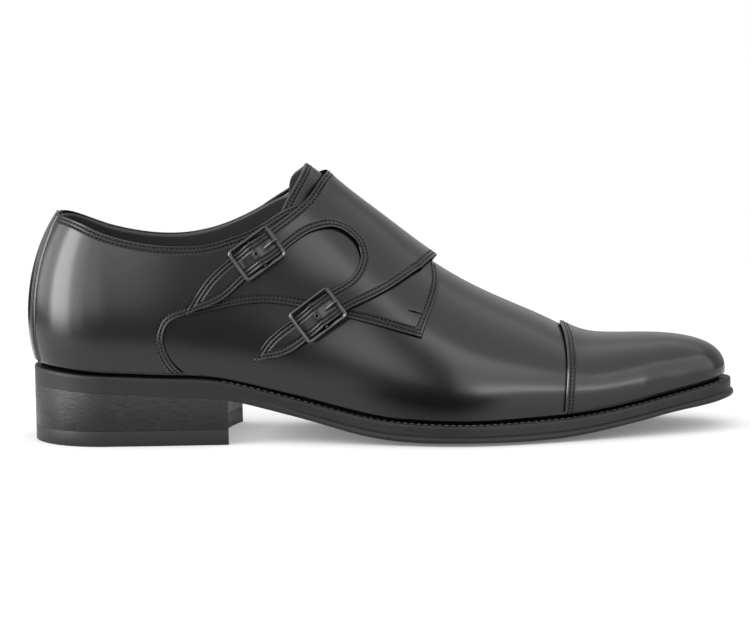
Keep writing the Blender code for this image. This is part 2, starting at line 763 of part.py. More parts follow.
PRONG_PATH = (  # along the strap from the centre bar, and out from the last
    (2.7, 3.2),
    (3.6, 4.7),
    (6.6, PRONG_REST - 0.4),
    (9.0, PRONG_REST),
    (11.0, PRONG_REST),
)
HOLE_AT = 4.3
HOLE_RADIUS = 2.1
HOLE_SIDES = 12
HOLE_SPAN = (0.5, 9.0)  # heights between which the holes' cutters reach


def buckle_axes(row):
    """Centre on the last, and unit vectors along the strap, across it and outwards."""
    _, s, z, s0, z0, s1, z1 = row
    at = np.array([s, s0, s1], float)
    share = share_at(at, np.array([z, z0, z1], float), "outer")
    centre, start, end = last_point(at, share, "outer")
    out = last_normal(at, share, "outer")[0]
    along = end - start
    along = along - out * along.dot(out)
    along = along / np.linalg.norm(along)
    return centre, along, np.cross(out, along), out


def buckle_place(row, t, w, h):
    centre, along, across, out = buckle_axes(row)
    return centre + along * t + across * w + out * h


def beside(row, *places):
    """Chart points that lie t along and w across the strap from a buckle's centre."""
    centre, along, across, _ = buckle_axes(row)
    axes = np.stack([along, across])
    wanted = np.array(places, float)
    at = np.tile(on("outer", row[1:3]), (len(places), 1))
    step = np.array([0.1, 0.001])
    for _ in range(8):
        here = (chart_point(at[:, 0], at[:, 1], np.zeros(len(at))) - centre) @ axes.T
        slopes = []
        for k in (0, 1):
            moved = at.copy()
            moved[:, k] += step[k]
            there = (chart_point(moved[:, 0], moved[:, 1], np.zeros(len(at))) - centre) @ axes.T
            slopes.append((there - here) / step[k])
        jacobian = np.stack(slopes, -1)
        at = at + np.linalg.solve(jacobian, (wanted - here)[..., None])[..., 0]
    return at


def strap_rise(points, turn):
    """Rise of the straps over the centre bars."""
    rise = np.zeros(len(points))
    for row in BUCKLES:
        centre, along, across, _ = buckle_axes(row)
        t = (points - centre) @ along
        w = (points - centre) @ across
        near = (np.abs(t) < HUMP_HALF) & (np.abs(w) < HUMP_HALF_WIDTH) & (turn < 0)
        rise = rise + np.where(near, HUMP * np.cos(math.pi * t / (2 * HUMP_HALF)) ** 2, 0.0)
    return rise


def build_frame(row):
    """Rounded rectangular frame with its centre bar."""
    steps = FRAME_CORNER_STEPS
    half_t, half_w = (FRAME_LENGTH - FRAME_BAR) / 2, (FRAME_WIDTH - FRAME_BAR) / 2
    radius = FRAME_CORNER - FRAME_BAR / 2
    rows = []
    for quarter, (st, sw) in enumerate(((1, 1), (-1, 1), (-1, -1), (1, -1))):
        for step in range(steps):
            angle = math.pi / 2 * (quarter + step / (steps - 1))
            way = np.array([math.cos(angle), math.sin(angle)])
            middle = np.array([st * (half_t - radius), sw * (half_w - radius)]) + way * radius
            section = []
            for side, height in FRAME_SECTION:
                t, w = middle + way * side * FRAME_BAR / 2
                section.append(buckle_place(row, t, w, FRAME_LOW + height * FRAME_THICK))
            rows.append(section)
    bm = bmesh.new()
    loft(bm, rows, around=True)
    frame = finish("buckle_" + row[0], bm, GUNMETAL)
    bar = bmesh.new()
    rows = []
    for w in (-half_w, half_w):
        ring = []
        for k in range(BAR_SIDES + 1):
            angle = 2 * math.pi * k / BAR_SIDES
            t, h = BAR_RADIUS * math.cos(angle), BAR_HEIGHT + BAR_RADIUS * math.sin(angle)
            ring.append(buckle_place(row, t, w, h))
        rows.append(ring)
    made = loft(bar, rows)
    for ring in made:
        bar.faces.new(ring[:-1])
    helper = finish("bar_" + row[0], bar, GUNMETAL)
    join(frame, helper, "UNION")
    return frame


def join(body, helper, operation):
    """Boolean with a helper that stays out of the render."""
    helper.hide_render = True
    helper.display_type = "WIRE"
    modifier = body.modifiers.new(operation.title(), "BOOLEAN")
    modifier.operation = operation
    modifier.object = helper


def build_prong(row):
    """Pin from beside the centre bar, through the strap's hole, onto the frame."""
    rows = []
    for k, (t, h) in enumerate(PRONG_PATH):
        before, after = PRONG_PATH[max(k - 1, 0)], PRONG_PATH[min(k + 1, len(PRONG_PATH) - 1)]
        way = np.array([after[0] - before[0], after[1] - before[1]])
        way = way / np.linalg.norm(way)
        ring = []
        for j in range(PRONG_SIDES + 1):
            angle = 2 * math.pi * j / PRONG_SIDES
            up, aside = PRONG_RADIUS * math.cos(angle), PRONG_RADIUS * math.sin(angle)
            ring.append(buckle_place(row, t - way[1] * up, aside, h + way[0] * up))
        rows.append(ring)
    bm = bmesh.new()
    made = loft(bm, rows)
    for ring in (made[0], made[-1]):
        bm.faces.new(ring[:-1])
    return finish("prong_" + row[0], bm, GUNMETAL)


# --- inner quarter with the flap and both straps -------------------------------------------
FLAP_TOP = 127.0  # where the flap's rear edge crosses the ridge
FLAP_FRONT = 175.0
FLAP_REAR = (124.4, 110.3)  # its two edges a little way down the outer side
FLAP_FRONT_LOW = (169.0, 72.0)
FORK = (143.1, 79.1)  # root of the round cut-out between the straps
UPPER_TIP = (67.4, 57.0)
LOWER_TIP = (96.9, 37.0)
FLAP_STEP = (0.04, 0.3)  # turn over which it comes down onto the upper on the inner side


def flap_low(s, turn):
    """Over the outer quarter on one side, straight on the upper on the other."""
    down = np.clip((turn - FLAP_STEP[0]) / (FLAP_STEP[1] - FLAP_STEP[0]), 0, 1)
    return STRAP_LOW + (LAP - STRAP_LOW) * down * down * (3 - 2 * down)


def build_quarter_inner():
    """Inner quarter, cut in one with the flap over the instep and the two straps."""
    half, rows = 4, 5
    rear, front = on("outer", FLAP_REAR)[0], on("outer", FLAP_FRONT_LOW)[0]
    middle = (rear + front) / 2
    fork = on("outer", FORK)[0]
    top = chain(
        top_edge("inner", QUARTER_BACK, HEEL_PIVOT, 6),
        top_edge("inner", HEEL_PIVOT, 75, 5),
        top_edge("inner", 75, 100, 5),
        through(
            [
                on("inner", (100, 97.6)),
                np.concatenate([on("inner", (109, 103.6), (118, 109.4)), on_ridge(FLAP_TOP)]),
                rear[None],
            ],
            [10, 3],
        ),
    )
    bottom = chain(
        foot_edge("inner", QUARTER_BACK, HEEL_PIVOT, 6),
        foot_edge("inner", HEEL_PIVOT, 105, 5),
        foot_edge("inner", 105, 150, 5),
        through(
            [
                foot_edge("inner", 150, 150, 0),
                np.concatenate([on("inner", (156, 28), (164, 47), (170.5, 63)), on_ridge(FLAP_FRONT)]),
                front[None],
            ],
            [10, 3],
        ),
    )
    across = chain(straight(rear, middle, half), straight(middle, front, half))
    body = patch(top, bottom, straight(top[0], bottom[0], 2 * half), across)
    up, down = BUCKLES
    strap_half = STRAP_WIDTH / 2
    upper = patch(
        chain(
            straight(middle, rear, half),
            through(
                [
                    rear[None],
                    on("outer", (120.7, 105.1), (113.2, 98.7)),
                    beside(up, (HUMP_HALF, strap_half)),
                    beside(up, (0, strap_half), (-HUMP_HALF, strap_half)),
                    on("outer", (75.9, 70.2), (69.8, 61.0), UPPER_TIP),
                ],
                [3, 2, 8, 5],
            ),
        ),
        through(
            [
                fork[None],
                on("outer", (141.0, 84.6), (134.6, 90.0)),
                on("outer", (127.5, 91.4), (119.5, 89.2)),
                beside(up, (HUMP_HALF, -strap_half)),
                beside(up, (0, -strap_half), (-HUMP_HALF, -strap_half)),
                on("outer", (85.0, 63.4), (77.5, 60.0), UPPER_TIP),
            ],
            [half, 3, 2, 8, 5],
        ),
        straight(middle, fork, rows),
        np.repeat(on("outer", UPPER_TIP), rows + 1, axis=0),
    )
    lower = patch(
        through(
            [
                fork[None],
                on("outer", (141.4, 74.0)),
                beside(down, (HUMP_HALF, strap_half)),
                beside(down, (0, strap_half), (-HUMP_HALF, strap_half)),
                on("outer", (105.0, 47.9), (100.4, 42.6), LOWER_TIP),
            ],
            [half, 5, 8, 5],
        ),
        chain(
            straight(middle, front, half),
            through(
                [
                    front[None],
                    np.concatenate(
                        [
                            on("outer", (159.8, 67.7), (147.0, 61.6)),
                            beside(down, (HUMP_HALF, -strap_half)),
                        ]
                    ),
                    beside(down, (0, -strap_half), (-HUMP_HALF, -strap_half)),
                    on("outer", (114.0, 40.6), (106.0, 38.0), LOWER_TIP),
                ],
                [5, 8, 5],
            ),
        ),
        straight(fork, middle, rows),
        np.repeat(on("outer", LOWER_TIP), rows + 1, axis=0),
    )
    high = lambda s, turn: flap_low(s, turn) + STRAP
    name = "quarter_inner_straps"
    body = lay(name, [body, upper, lower], flap_low, high, LEATHER, shape=strap_rise)
    for row in BUCKLES:
        bm = bmesh.new()
        rows = []
        for height in HOLE_SPAN:
            ring = []
            for k in range(HOLE_SIDES + 1):
                angle = 2 * math.pi * k / HOLE_SIDES
                t = HOLE_AT + HOLE_RADIUS * math.cos(angle)
                ring.append(buckle_place(row, t, HOLE_RADIUS * math.sin(angle), height))
            rows.append(ring)
        made = loft(bm, rows)
        for ring in made:
            bm.faces.new(ring[:-1])
        join(body, finish("hole_" + row[0], bm, LEATHER), "DIFFERENCE")
    return body


def centre_on_floor():
    """Move everything so that the world's origin is under the middle of the shoe."""
    corners = np.array([v.co for o in bpy.data.objects for v in o.data.vertices])
    low, high = corners.min(0), corners.max(0)
    for body in bpy.data.objects:
        body.location = (-(low[0] + high[0]) / 2, -(low[1] + high[1]) / 2, -low[2])


def main():
    for old in list(bpy.data.objects):
        bpy.data.objects.remove(old)
    build_outsole()
    build_welt()
    build_heel()
    build_insole()
    build_upper()
    build_tongue()
    build_toe_cap()
    build_backstay()
    build_quarter_outer()
    build_quarter_inner()
    for row in BUCKLES:
        build_frame(row)
        build_prong(row)
    centre_on_floor()


main()
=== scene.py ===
import math

import bmesh
import bpy
import numpy as np
from mathutils import Matrix, Vector
from mathutils.bvhtree import BVHTree
from mathutils.kdtree import KDTree


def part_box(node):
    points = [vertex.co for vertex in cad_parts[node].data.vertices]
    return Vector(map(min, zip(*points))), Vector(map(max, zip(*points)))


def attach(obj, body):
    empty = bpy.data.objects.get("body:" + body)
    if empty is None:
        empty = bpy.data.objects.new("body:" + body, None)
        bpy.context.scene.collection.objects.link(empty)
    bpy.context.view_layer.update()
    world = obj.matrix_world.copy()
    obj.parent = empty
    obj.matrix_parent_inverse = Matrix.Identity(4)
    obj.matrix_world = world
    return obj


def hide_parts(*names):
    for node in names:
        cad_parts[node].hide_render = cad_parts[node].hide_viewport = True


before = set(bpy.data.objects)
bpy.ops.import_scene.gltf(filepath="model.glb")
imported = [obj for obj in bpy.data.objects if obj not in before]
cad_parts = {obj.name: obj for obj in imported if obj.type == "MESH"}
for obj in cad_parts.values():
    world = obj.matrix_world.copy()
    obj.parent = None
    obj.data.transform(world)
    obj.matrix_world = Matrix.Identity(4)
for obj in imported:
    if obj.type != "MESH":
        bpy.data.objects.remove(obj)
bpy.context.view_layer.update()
mm = 0.001
print("frame loaded:", len(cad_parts), "nodes")

# the last, in millimetres: heel at the left, toe along +X, buckles on the -Y side
last = {
    "heelPivot": 32.0,  # ribs fan round the heel behind this station
    "toePivot": 265.0,
    "back": -18.0,  # station of the back seam
    "tip": 325.0,
    "belly": 0.15,  # girth share up to the widest line
    "gap": 0.3,
}
ribColumns = (
    "station outerSole innerSole rim outerBulge innerBulge bellyRise topZ sideFull topFull spineY"
).split()
ribs = (
    (-18, 32.6, 32.6, 3.0, 3.2, 3.2, 20, 112, 0.56, 0.43, 0.0),
    (7, 32.6, 32.6, 2.8, 2.8, 2.8, 19, 114, 0.56, 0.48, 0.0),
    (32, 32.6, 32.2, 2.6, 2.2, 2.4, 18, 119, 0.55, 0.54, 0.0),
    (60, 33.3, 32.0, 2.6, 2.0, 2.8, 18, 126, 0.55, 0.56, 0.3),
    (85, 33.8, 29.2, 2.6, 2.2, 4.4, 18, 130, 0.52, 0.56, 1.0),
    (110, 36.0, 25.6, 2.6, 2.8, 6.6, 18, 127.5, 0.46, 0.58, 2.2),
    (130, 40.2, 26.4, 2.7, 2.9, 6.8, 17, 109.9, 0.42, 0.60, 3.2),
    (150, 46.4, 32.6, 2.8, 2.6, 5.0, 15, 93.4, 0.42, 0.62, 4.0),
    (170, 52.2, 41.2, 3.4, 2.2, 3.4, 13, 77.6, 0.44, 0.64, 4.6),
    (190, 54.6, 46.6, 3.8, 1.8, 2.4, 12, 64.6, 0.48, 0.64, 4.6),
    (210, 51.6, 47.8, 4.0, 1.6, 2.0, 12, 54.8, 0.52, 0.64, 4.2),
    (228, 46.0, 44.6, 4.0, 1.5, 1.8, 11, 46.4, 0.55, 0.65, 3.2),
    (240, 41.4, 40.4, 4.0, 1.4, 1.6, 10, 40.8, 0.58, 0.66, 2.4),
    (252, 36.9, 36.1, 4.0, 1.3, 1.5, 9, 39.2, 0.62, 0.68, 1.6),
    (265, 32.2, 31.7, 4.3, 1.2, 1.3, 8, 39.2, 0.66, 0.72, 1.0),
    (279, 29.8, 29.6, 4.6, 1.2, 1.2, 7, 39.2, 0.68, 0.76, 1.0),
    (295, 32.0, 31.8, 4.9, 1.2, 1.2, 6, 39.2, 0.70, 0.78, 1.0),
    (310, 38.2, 38.0, 5.8, 1.0, 1.0, 5, 39.2, 0.66, 0.76, 1.0),
    (325, 41.7, 41.7, 6.2, 0.8, 0.8, 4, 39.2, 0.64, 0.74, 1.0),
)
soleLine = (  # x, height of the sole's top edge, height of its lower edge
    (0, 32.6, 25.0),
    (20, 31.4, 23.9),
    (42, 30.1, 22.6),
    (62, 29.2, 21.3),
    (78, 28.2, 20.2),
    (90, 25.9, 18.3),
    (103, 22.5, 14.9),
    (122, 17.4, 9.6),
    (140, 12.9, 4.6),
    (155, 10.3, 2.1),
    (168, 9.3, 1.3),
    (190, 8.8, 1.2),
    (222, 9.6, 1.3),
    (238, 10.5, 2.5),
    (251, 12.1, 4.5),
    (264, 14.3, 6.8),
    (276, 16.5, 9.1),
    (288, 18.7, 10.8),
    (300, 20.7, 12.5),
    (307, 21.5, 13.3),
)
collarLine = {  # station and height of the top line on each side
    "outer": (
        (-18, 98.8), (7, 97.9), (20, 96.0), (33, 91.8), (49, 87.8), (66, 86.2), (78, 86.9),
        (88, 89.6), (99, 93.8), (108, 99.2), (119, 102.6), (131, 100.4), (145, 91.6), (156, 84.6),
    ),
    "inner": (
        (-18, 98.8), (7, 97.2), (20, 94.1), (33, 90.0), (47, 86.8), (62, 85.7), (78, 88.1),
        (90, 92.5), (100, 97.6), (109, 102.4), (119, 104.2), (131, 101.4), (145, 92.2), (156, 84.8),
    ),
}
throatEnd = 166.0
bothSides = ("outer", "inner")
sideSign = {"outer": -1.0, "inner": 1.0}


def smoothCurve(x, y, levelEnds=True):
    # cubic spline through (x, y), with continuous curvature
    x, y = np.array(x, float), np.array(y, float)
    h = np.diff(x)
    slope = np.diff(y) / h
    n = len(x)
    matrix, right = np.zeros((n, n)), np.zeros(n)
    for i in range(1, n - 1):
        matrix[i, i - 1 : i + 2] = h[i], 2 * (h[i - 1] + h[i]), h[i - 1]
        right[i] = 3 * (h[i] * slope[i - 1] + h[i - 1] * slope[i])
    matrix[0, 0] = matrix[-1, -1] = 1
    if not levelEnds:
        matrix[0, :2] = 2, 1
        matrix[-1, -2:] = 1, 2
        right[0], right[-1] = 3 * slope[0], 3 * slope[-1]
    d = np.linalg.solve(matrix, right)

    def value(at):
        at = np.clip(np.asarray(at, float), x[0], x[-1])
        i = np.clip(np.searchsorted(x, at, side="right") - 1, 0, n - 2)
        t = (at - x[i]) / h[i]
        a = y[i] * (1 + 2 * t) * (1 - t) ** 2 + y[i + 1] * t * t * (3 - 2 * t)
        return a + (d[i] * t * (1 - t) ** 2 - d[i + 1] * t * t * (1 - t)) * h[i]

    return value


def smoothStep(value, start, end):
    # from 0 at the start to 1 at the end, level at both
    t = np.clip((value - start) / (end - start), 0, 1)
    return t * t * (3 - 2 * t)


def unit(vectors):
    return vectors / np.maximum(np.linalg.norm(vectors, axis=-1, keepdims=True), 1e-9)


ribTable, soleTable = np.array(ribs, float).T, np.array(soleLine, float).T
rib = {name: smoothCurve(ribTable[0], ribTable[k]) for k, name in enumerate(ribColumns) if k}
soleTop, soleBottom = (smoothCurve(soleTable[0], heights) for heights in soleTable[1:])


def planPoint(s, side, reach):
    # plan position at a distance out from the spine along the rib
    s = np.asarray(s, float)
    heelTurn = np.clip((last["heelPivot"] - s) / (last["heelPivot"] - last["back"]), 0, 1)
    toeTurn = np.clip((s - last["toePivot"]) / (last["tip"] - last["toePivot"]), 0, 1)
    angle = math.pi / 2 * (1 + heelTurn - toeTurn)
    x = np.clip(s, last["heelPivot"], last["toePivot"])
    way = np.stack([np.cos(angle), sideSign[side] * np.sin(angle)], -1)
    return np.stack([x, rib["spineY"](x)], -1) + way * np.asarray(reach, float)[..., None]


def featherEdge(s, side):
    reach = rib[side + "Sole"](s) - rib["rim"](s)
    return reach, soleTop(planPoint(s, side, reach)[..., 0]) + last["gap"]


def lastPoint(s, v, side):
    # v runs from the feather edge (0) over the widest line to the ridge (1)
    s, v = np.broadcast_arrays(np.asarray(s, float), np.asarray(v, float))
    footReach, footZ = featherEdge(s, side)
    wide = footReach + rib[side + "Bulge"](s)
    wideZ = footZ + rib["bellyRise"](s)
    topZ = rib["topZ"](np.minimum(s, last["toePivot"]))
    low = np.clip(v / last["belly"], 0, 1)
    t = np.clip((v - last["belly"]) / (1 - last["belly"]), 0, 1)
    b0, b1, b2, b3 = (1 - t) ** 3, 3 * (1 - t) ** 2 * t, 3 * (1 - t) * t * t, t**3
    sideZ = wideZ + rib["sideFull"](s) * (topZ - wideZ)
    isLow = v < last["belly"]
    reach = np.where(
        isLow,
        wide - (wide - footReach) * (1 - low) ** 2,
        wide * (b0 + b1 + b2 * rib["topFull"](s)),
    )
    z = np.where(isLow, footZ + (wideZ - footZ) * low, wideZ * b0 + sideZ * b1 + topZ * (b2 + b3))
    return np.concatenate([planPoint(s, side, reach), z[..., None]], -1)


def lastNormal(s, v, side):
    s, v = np.broadcast_arrays(np.asarray(s, float), np.asarray(v, float))
    ds, dv = 0.05, 0.001
    s0, s1 = np.clip(s - ds, last["back"], last["tip"]), np.clip(s + ds, last["back"], last["tip"])
    v0, v1 = np.clip(v - dv, 0, 1 - 2 * dv), np.clip(v + dv, 2 * dv, 1)
    inside = np.clip(v, 0, 0.995)
    along = lastPoint(s1, inside, side) - lastPoint(s0, inside, side)
    normal = np.cross(along, lastPoint(s, v1, side) - lastPoint(s, v0, side)) * -sideSign[side]
    # on the ridge both sides share one normal, and at the heel and toe it stays in the middle plane
    r1 = np.clip(s, last["heelPivot"] + ds, last["toePivot"])
    ridge = lastPoint(r1, np.ones_like(v), side) - lastPoint(r1 - ds, np.ones_like(v), side)
    shared = np.stack([-ridge[..., 2], np.zeros_like(v), ridge[..., 0]], -1)
    normal = np.where(v[..., None] > 1 - 1e-6, shared, normal)
    ends = (s < last["back"] + 1e-3) | (s > last["tip"] - 1e-3)
    normal[..., 1] = np.where(ends, 0.0, normal[..., 1])
    return unit(normal)


def shareAt(s, z, side):
    # girth share at which the last reaches a height
    low, high = np.zeros_like(np.asarray(s, float)), np.ones_like(np.asarray(s, float))
    for _ in range(40):
        mid = (low + high) / 2
        below = lastPoint(s, mid, side)[..., 2] < z
        low, high = np.where(below, mid, low), np.where(below, high, mid)
    return (low + high) / 2


def collarCurve(side):
    s, z = np.array(collarLine[side], float).T
    line = smoothCurve(np.append(s, throatEnd), np.append(shareAt(s, z, side), 1.0), levelEnds=False)
    return lambda at: np.where(np.asarray(at) < throatEnd - 1e-6, np.clip(line(at), 0, 1), 1.0)


collarShare = {side: collarCurve(side) for side in bothSides}

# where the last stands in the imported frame
ringStations = np.linspace(last["back"], last["tip"], 400)
ring = [planPoint(ringStations, side, rib[side + "Sole"](ringStations)) for side in bothSides]
ringLow = np.concatenate(ring).min(0)
shift = np.array([*(np.array(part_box("outsole")[0][:2]) / mm - ringLow), 0.0])
print("last stands at", shift.round(2))


def toWorld(points):
    return (np.asarray(points, float) + shift) * mm


# a flat chart of the last: station, and turn from -1 (outer foot) over 0 (ridge) to 1 (inner foot)
chartScale = (1, 100)  # millimetres to a step of one in station and in turn

# sheets of leather laid on the last
sheet = {
    "lap": 0.55, "thick": 1.2, "wall": 2.0,
    "foldRadius": 0.7,
    "footLift": 2.2,  # how far an overlay's foot stays above the feather edge
    "fine": 3,  # how finely the patterns are divided
    "rings": (0.36, 0.19, 0.07),  # close rows of faces along a rim
    "painted": 0.35,  # width of the black on a cut edge: edge paint, and the shade under the edge painted in
    "crevice": 0.03,  # share of the way up the upper that is painted black beside the welt, as the shade in the crevice
}
strap = {"thick": 1.4, "width": 11.6}
strapLow = sheet["lap"] * 2 + sheet["thick"]
fine = sheet["fine"]


def onLast(chart, offset):
    # places of chart points, at offsets out from the last
    s, share = chart[:, 0], 1 - np.abs(chart[:, 1])
    out = np.asarray(offset, float)[..., None]
    outer, inner = (lastPoint(s, share, side) + lastNormal(s, share, side) * out for side in bothSides)
    return np.where(chart[:, 1:] < 0, outer, inner)


def chartOf(s, share, side):
    return np.stack([np.asarray(s, float), (np.asarray(share) - 1) * -sideSign[side]], -1)


def on(side, *places):
    # chart points at stations and heights on one side
    s, z = np.array(places, float).T
    return chartOf(s, shareAt(s, z, side), side)


def onRidge(s):
    return np.array([[s, 0.0]])


def topEdge(side, start, end, count):
    s = np.linspace(start, end, count + 1)
    return chartOf(s, collarShare[side](s), side)


def footShare(s, side):
    return shareAt(s, featherEdge(s, side)[1] + sheet["footLift"], side)


def footEdge(side, start, end, count):
    s = np.linspace(start, end, count + 1)
    return chartOf(s, footShare(s, side), side)


def runLength(points):
    # how far along a run each of its points is
    return np.concatenate([[0], np.cumsum(np.linalg.norm(np.diff(points, axis=0), axis=1))])


def through(groups, counts):
    # a smooth edge through groups of chart points, with a count of steps to the end of each group
    points = np.concatenate(groups)
    at = runLength(points * chartScale)
    ends = np.cumsum([len(group) for group in groups]) - 1
    stops = at[ends] if len(groups[0]) == 1 else [at[0], *at[ends]]
    runs = [np.linspace(a, b, count + 1)[1:] for a, b, count in zip(stops[:-1], stops[1:], counts)]
    t = np.concatenate([[at[0]], *runs])
    return np.stack([smoothCurve(at, points[:, k], levelEnds=False)(t) for k in (0, 1)], -1)


def chain(*runs):
    return np.concatenate([runs[0], *[run[1:] for run in runs[1:]]])


def eased(count, amount):
    # spacing that is close at both ends
    t = np.linspace(0, 1, count + 1)
    return t - amount * np.sin(2 * math.pi * t) / (2 * math.pi)


def straight(start, end, count):
    return start + (end - start) * np.linspace(0, 1, count + 1)[:, None]


def patch(top, bottom, first, final):
    # grid between four edges
    u = np.linspace(0, 1, len(top))[:, None, None]
    w = np.linspace(0, 1, len(first))[None, :, None]
    along = (1 - w) * top[:, None] + w * bottom[:, None]
    across = (1 - u) * first[None] + u * final[None]
    near = (1 - w) * top[0] + w * bottom[0]
    far = (1 - w) * top[-1] + w * bottom[-1]
    return along + across - (1 - u) * near - u * far


def addGrid(bm, points):
    # a grid from the operator, with each point moved to its place
    nu, nv = points.shape[0] - 1, points.shape[1] - 1
    made = bmesh.ops.create_grid(bm, x_segments=nu, y_segments=nv, size=1.0)["verts"]
    flat = np.array([vert.co[:2] for vert in made])
    i, j = (np.rint((flat[:, k] + 1) / 2 * count).astype(int) for k, count in enumerate((nu, nv)))
    for vert, place in zip(made, points[i, j]):
        vert.co = place


def addCopy(bm, mesh, matrix):
    # a copy of a small mesh, put in its place
    before = len(bm.verts)
    bm.from_mesh(mesh)
    bm.verts.ensure_lookup_table()
    bmesh.ops.transform(bm, matrix=matrix, verts=bm.verts[before:])


def turnedTo(place, axes, size):
    # matrix that gives a copy its size in millimetres, turns it to three axes and moves it to a place
    turned = Matrix(axes).transposed().to_4x4()
    return Matrix.Translation(place) @ turned @ Matrix.Diagonal((*[side * mm for side in size], 1))


def closeMesh(bm, join, thin=None):
    bmesh.ops.remove_doubles(bm, verts=bm.verts, dist=join * mm)
    if thin is not None:
        bmesh.ops.dissolve_degenerate(bm, edges=bm.edges, dist=thin * mm)
    bmesh.ops.recalc_face_normals(bm, faces=bm.faces)


def newPiece(name, bm, materials, sharpAngle=None):
    # smooth all over, or with sharp edges where faces turn by more than an angle
    mesh = bpy.data.meshes.new(name)
    bm.to_mesh(mesh)
    bm.free()
    piece = bpy.data.objects.new(name, mesh)
    bpy.context.scene.collection.objects.link(piece)
    for material in materials:
        mesh.materials.append(material)
    mesh.shade_smooth()
    if sharpAngle is not None:
        mesh.set_sharp_from_angle(angle=math.radians(sharpAngle))
    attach(piece, "root")
    return piece


def softenEdges(piece, width, segments, angle):
    bevel = piece.modifiers.new("soften", "BEVEL")
    bevel.width, bevel.segments = width * mm, segments
    bevel.limit_method, bevel.angle_limit = "ANGLE", math.radians(angle)


# materials
def nodeMaterial(name):
    material = bpy.data.materials.new(name)
    material.use_nodes = True
    tree = material.node_tree
    return material, tree, tree.nodes["Principled BSDF"]


def link(tree, source, target):
    tree.links.new(source, target)


def feed(tree, value, socket):
    # a number or a colour is set on the socket, and another node's output is linked to it
    if isinstance(value, (int, float)):
        socket.default_value = value
    elif isinstance(value, tuple):
        socket.default_value = (*value, 1.0)
    else:
        link(tree, value, socket)


def newGroup(name, inputs, outputs):
    # an empty group with number sockets, then what its inputs give and what its outputs take
    group = bpy.data.node_groups.new(name, "ShaderNodeTree")
    for label, value in inputs.items():
        socket = group.interface.new_socket(name=label, in_out="INPUT", socket_type="NodeSocketFloat")
        socket.default_value = value
    for label in outputs:
        group.interface.new_socket(name=label, in_out="OUTPUT", socket_type="NodeSocketFloat")
    return group, group.nodes.new("NodeGroupInput").outputs, group.nodes.new("NodeGroupOutput").inputs


def placeGroup(tree, group, values):
    node = tree.nodes.new("ShaderNodeGroup")
    node.node_tree = group
    for label, value in values.items():
        feed(tree, value, node.inputs[label])
    return node.outputs


def objectPlace(tree):
    return tree.nodes.new("ShaderNodeTexCoord").outputs["Object"]


def attributeNode(tree, name):
    node = tree.nodes.new("ShaderNodeAttribute")
    node.attribute_name = name
    return node.outputs["Fac"]


def mathNode(tree, operation, *values):
    node = tree.nodes.new("ShaderNodeMath")
    node.operation = operation
    for k, value in enumerate(values):
        feed(tree, value, node.inputs[k])
    return node.outputs[0]


def noiseNode(tree, vector, scale, detail, roughness=0.5):
    node = tree.nodes.new("ShaderNodeTexNoise")
    link(tree, vector, node.inputs["Vector"])
    for label, value in (("Scale", scale), ("Detail", detail), ("Roughness", roughness)):
        feed(tree, value, node.inputs[label])
    return node.outputs["Fac"]


def mixColour(tree, factor, first, second):
    node = tree.nodes.new("ShaderNodeMix")
    node.data_type = "RGBA"
    node.clamp_factor = True
    link(tree, factor, node.inputs["Factor"])
    colours = [socket for socket in node.inputs if socket.type == "RGBA"]
    for value, socket in zip((first, second), colours):
        feed(tree, value, socket)
    return [socket for socket in node.outputs if socket.type == "RGBA"][0]


def mapRange(tree, value, fromLow, fromHigh, toLow=0.0, toHigh=1.0, kind="SMOOTHSTEP"):
    node = tree.nodes.new("ShaderNodeMapRange")
    node.interpolation_type = kind
    link(tree, value, node.inputs["Value"])
    ends = (("From Min", fromLow), ("From Max", fromHigh), ("To Min", toLow), ("To Max", toHigh))
    for label, number in ends:
        node.inputs[label].default_value = number
    return node.outputs["Result"]


def dress(tree, shader, colour, rough, height=None, strength=1.0):
    # colour, roughness and a relief whose heights are in millimetres
    link(tree, colour, shader.inputs["Base Color"])
    feed(tree, rough, shader.inputs["Roughness"])
    if height is not None:
        bump = tree.nodes.new("ShaderNodeBump")
        bump.inputs["Distance"].default_value = mm
        bump.inputs["Strength"].default_value = strength
        link(tree, height, bump.inputs["Height"])
        link(tree, bump.outputs["Normal"], shader.inputs["Normal"])


grainNoise = {  # scale and detail of the hide's slow waves, its cloudy dye and the patchy break-up of its rim wear and painted rim highlight
    "wave": (32.0, 1.5), "cloud": (14.0, 4.0), "wear": (260.0, 3.0), "gritDetail": 3.0, "poreSmooth": 0.6,
}


def makeGrainGroup():
    # calf grain: fine pores, faint creasing and slow waves of the hide
    sizes = {"Pore Size": 0.5, "Pore Depth": 0.02, "Wave Depth": 0.15}
    group, start, end = newGroup("calfGrain", sizes, ("Height", "Cloud", "Fine"))
    place = objectPlace(group)
    poreScale = mathNode(group, "DIVIDE", 1000.0, start["Pore Size"])
    cells = group.nodes.new("ShaderNodeTexVoronoi")
    cells.feature = "SMOOTH_F1"
    cells.inputs["Smoothness"].default_value = grainNoise["poreSmooth"]
    link(group, place, cells.inputs["Vector"])
    link(group, poreScale, cells.inputs["Scale"])
    gritty = noiseNode(group, place, poreScale, grainNoise["gritDetail"])
    wavy = noiseNode(group, place, *grainNoise["wave"])
    pore = mathNode(group, "MULTIPLY", cells.outputs["Distance"], start["Pore Depth"])
    grit = mathNode(group, "MULTIPLY", gritty, start["Pore Depth"])
    wave = mathNode(group, "MULTIPLY", wavy, start["Wave Depth"])
    link(group, mathNode(group, "ADD", mathNode(group, "ADD", pore, grit), wave), end["Height"])
    link(group, noiseNode(group, place, *grainNoise["cloud"]), end["Cloud"])
    link(group, gritty, end["Fine"])
    return group


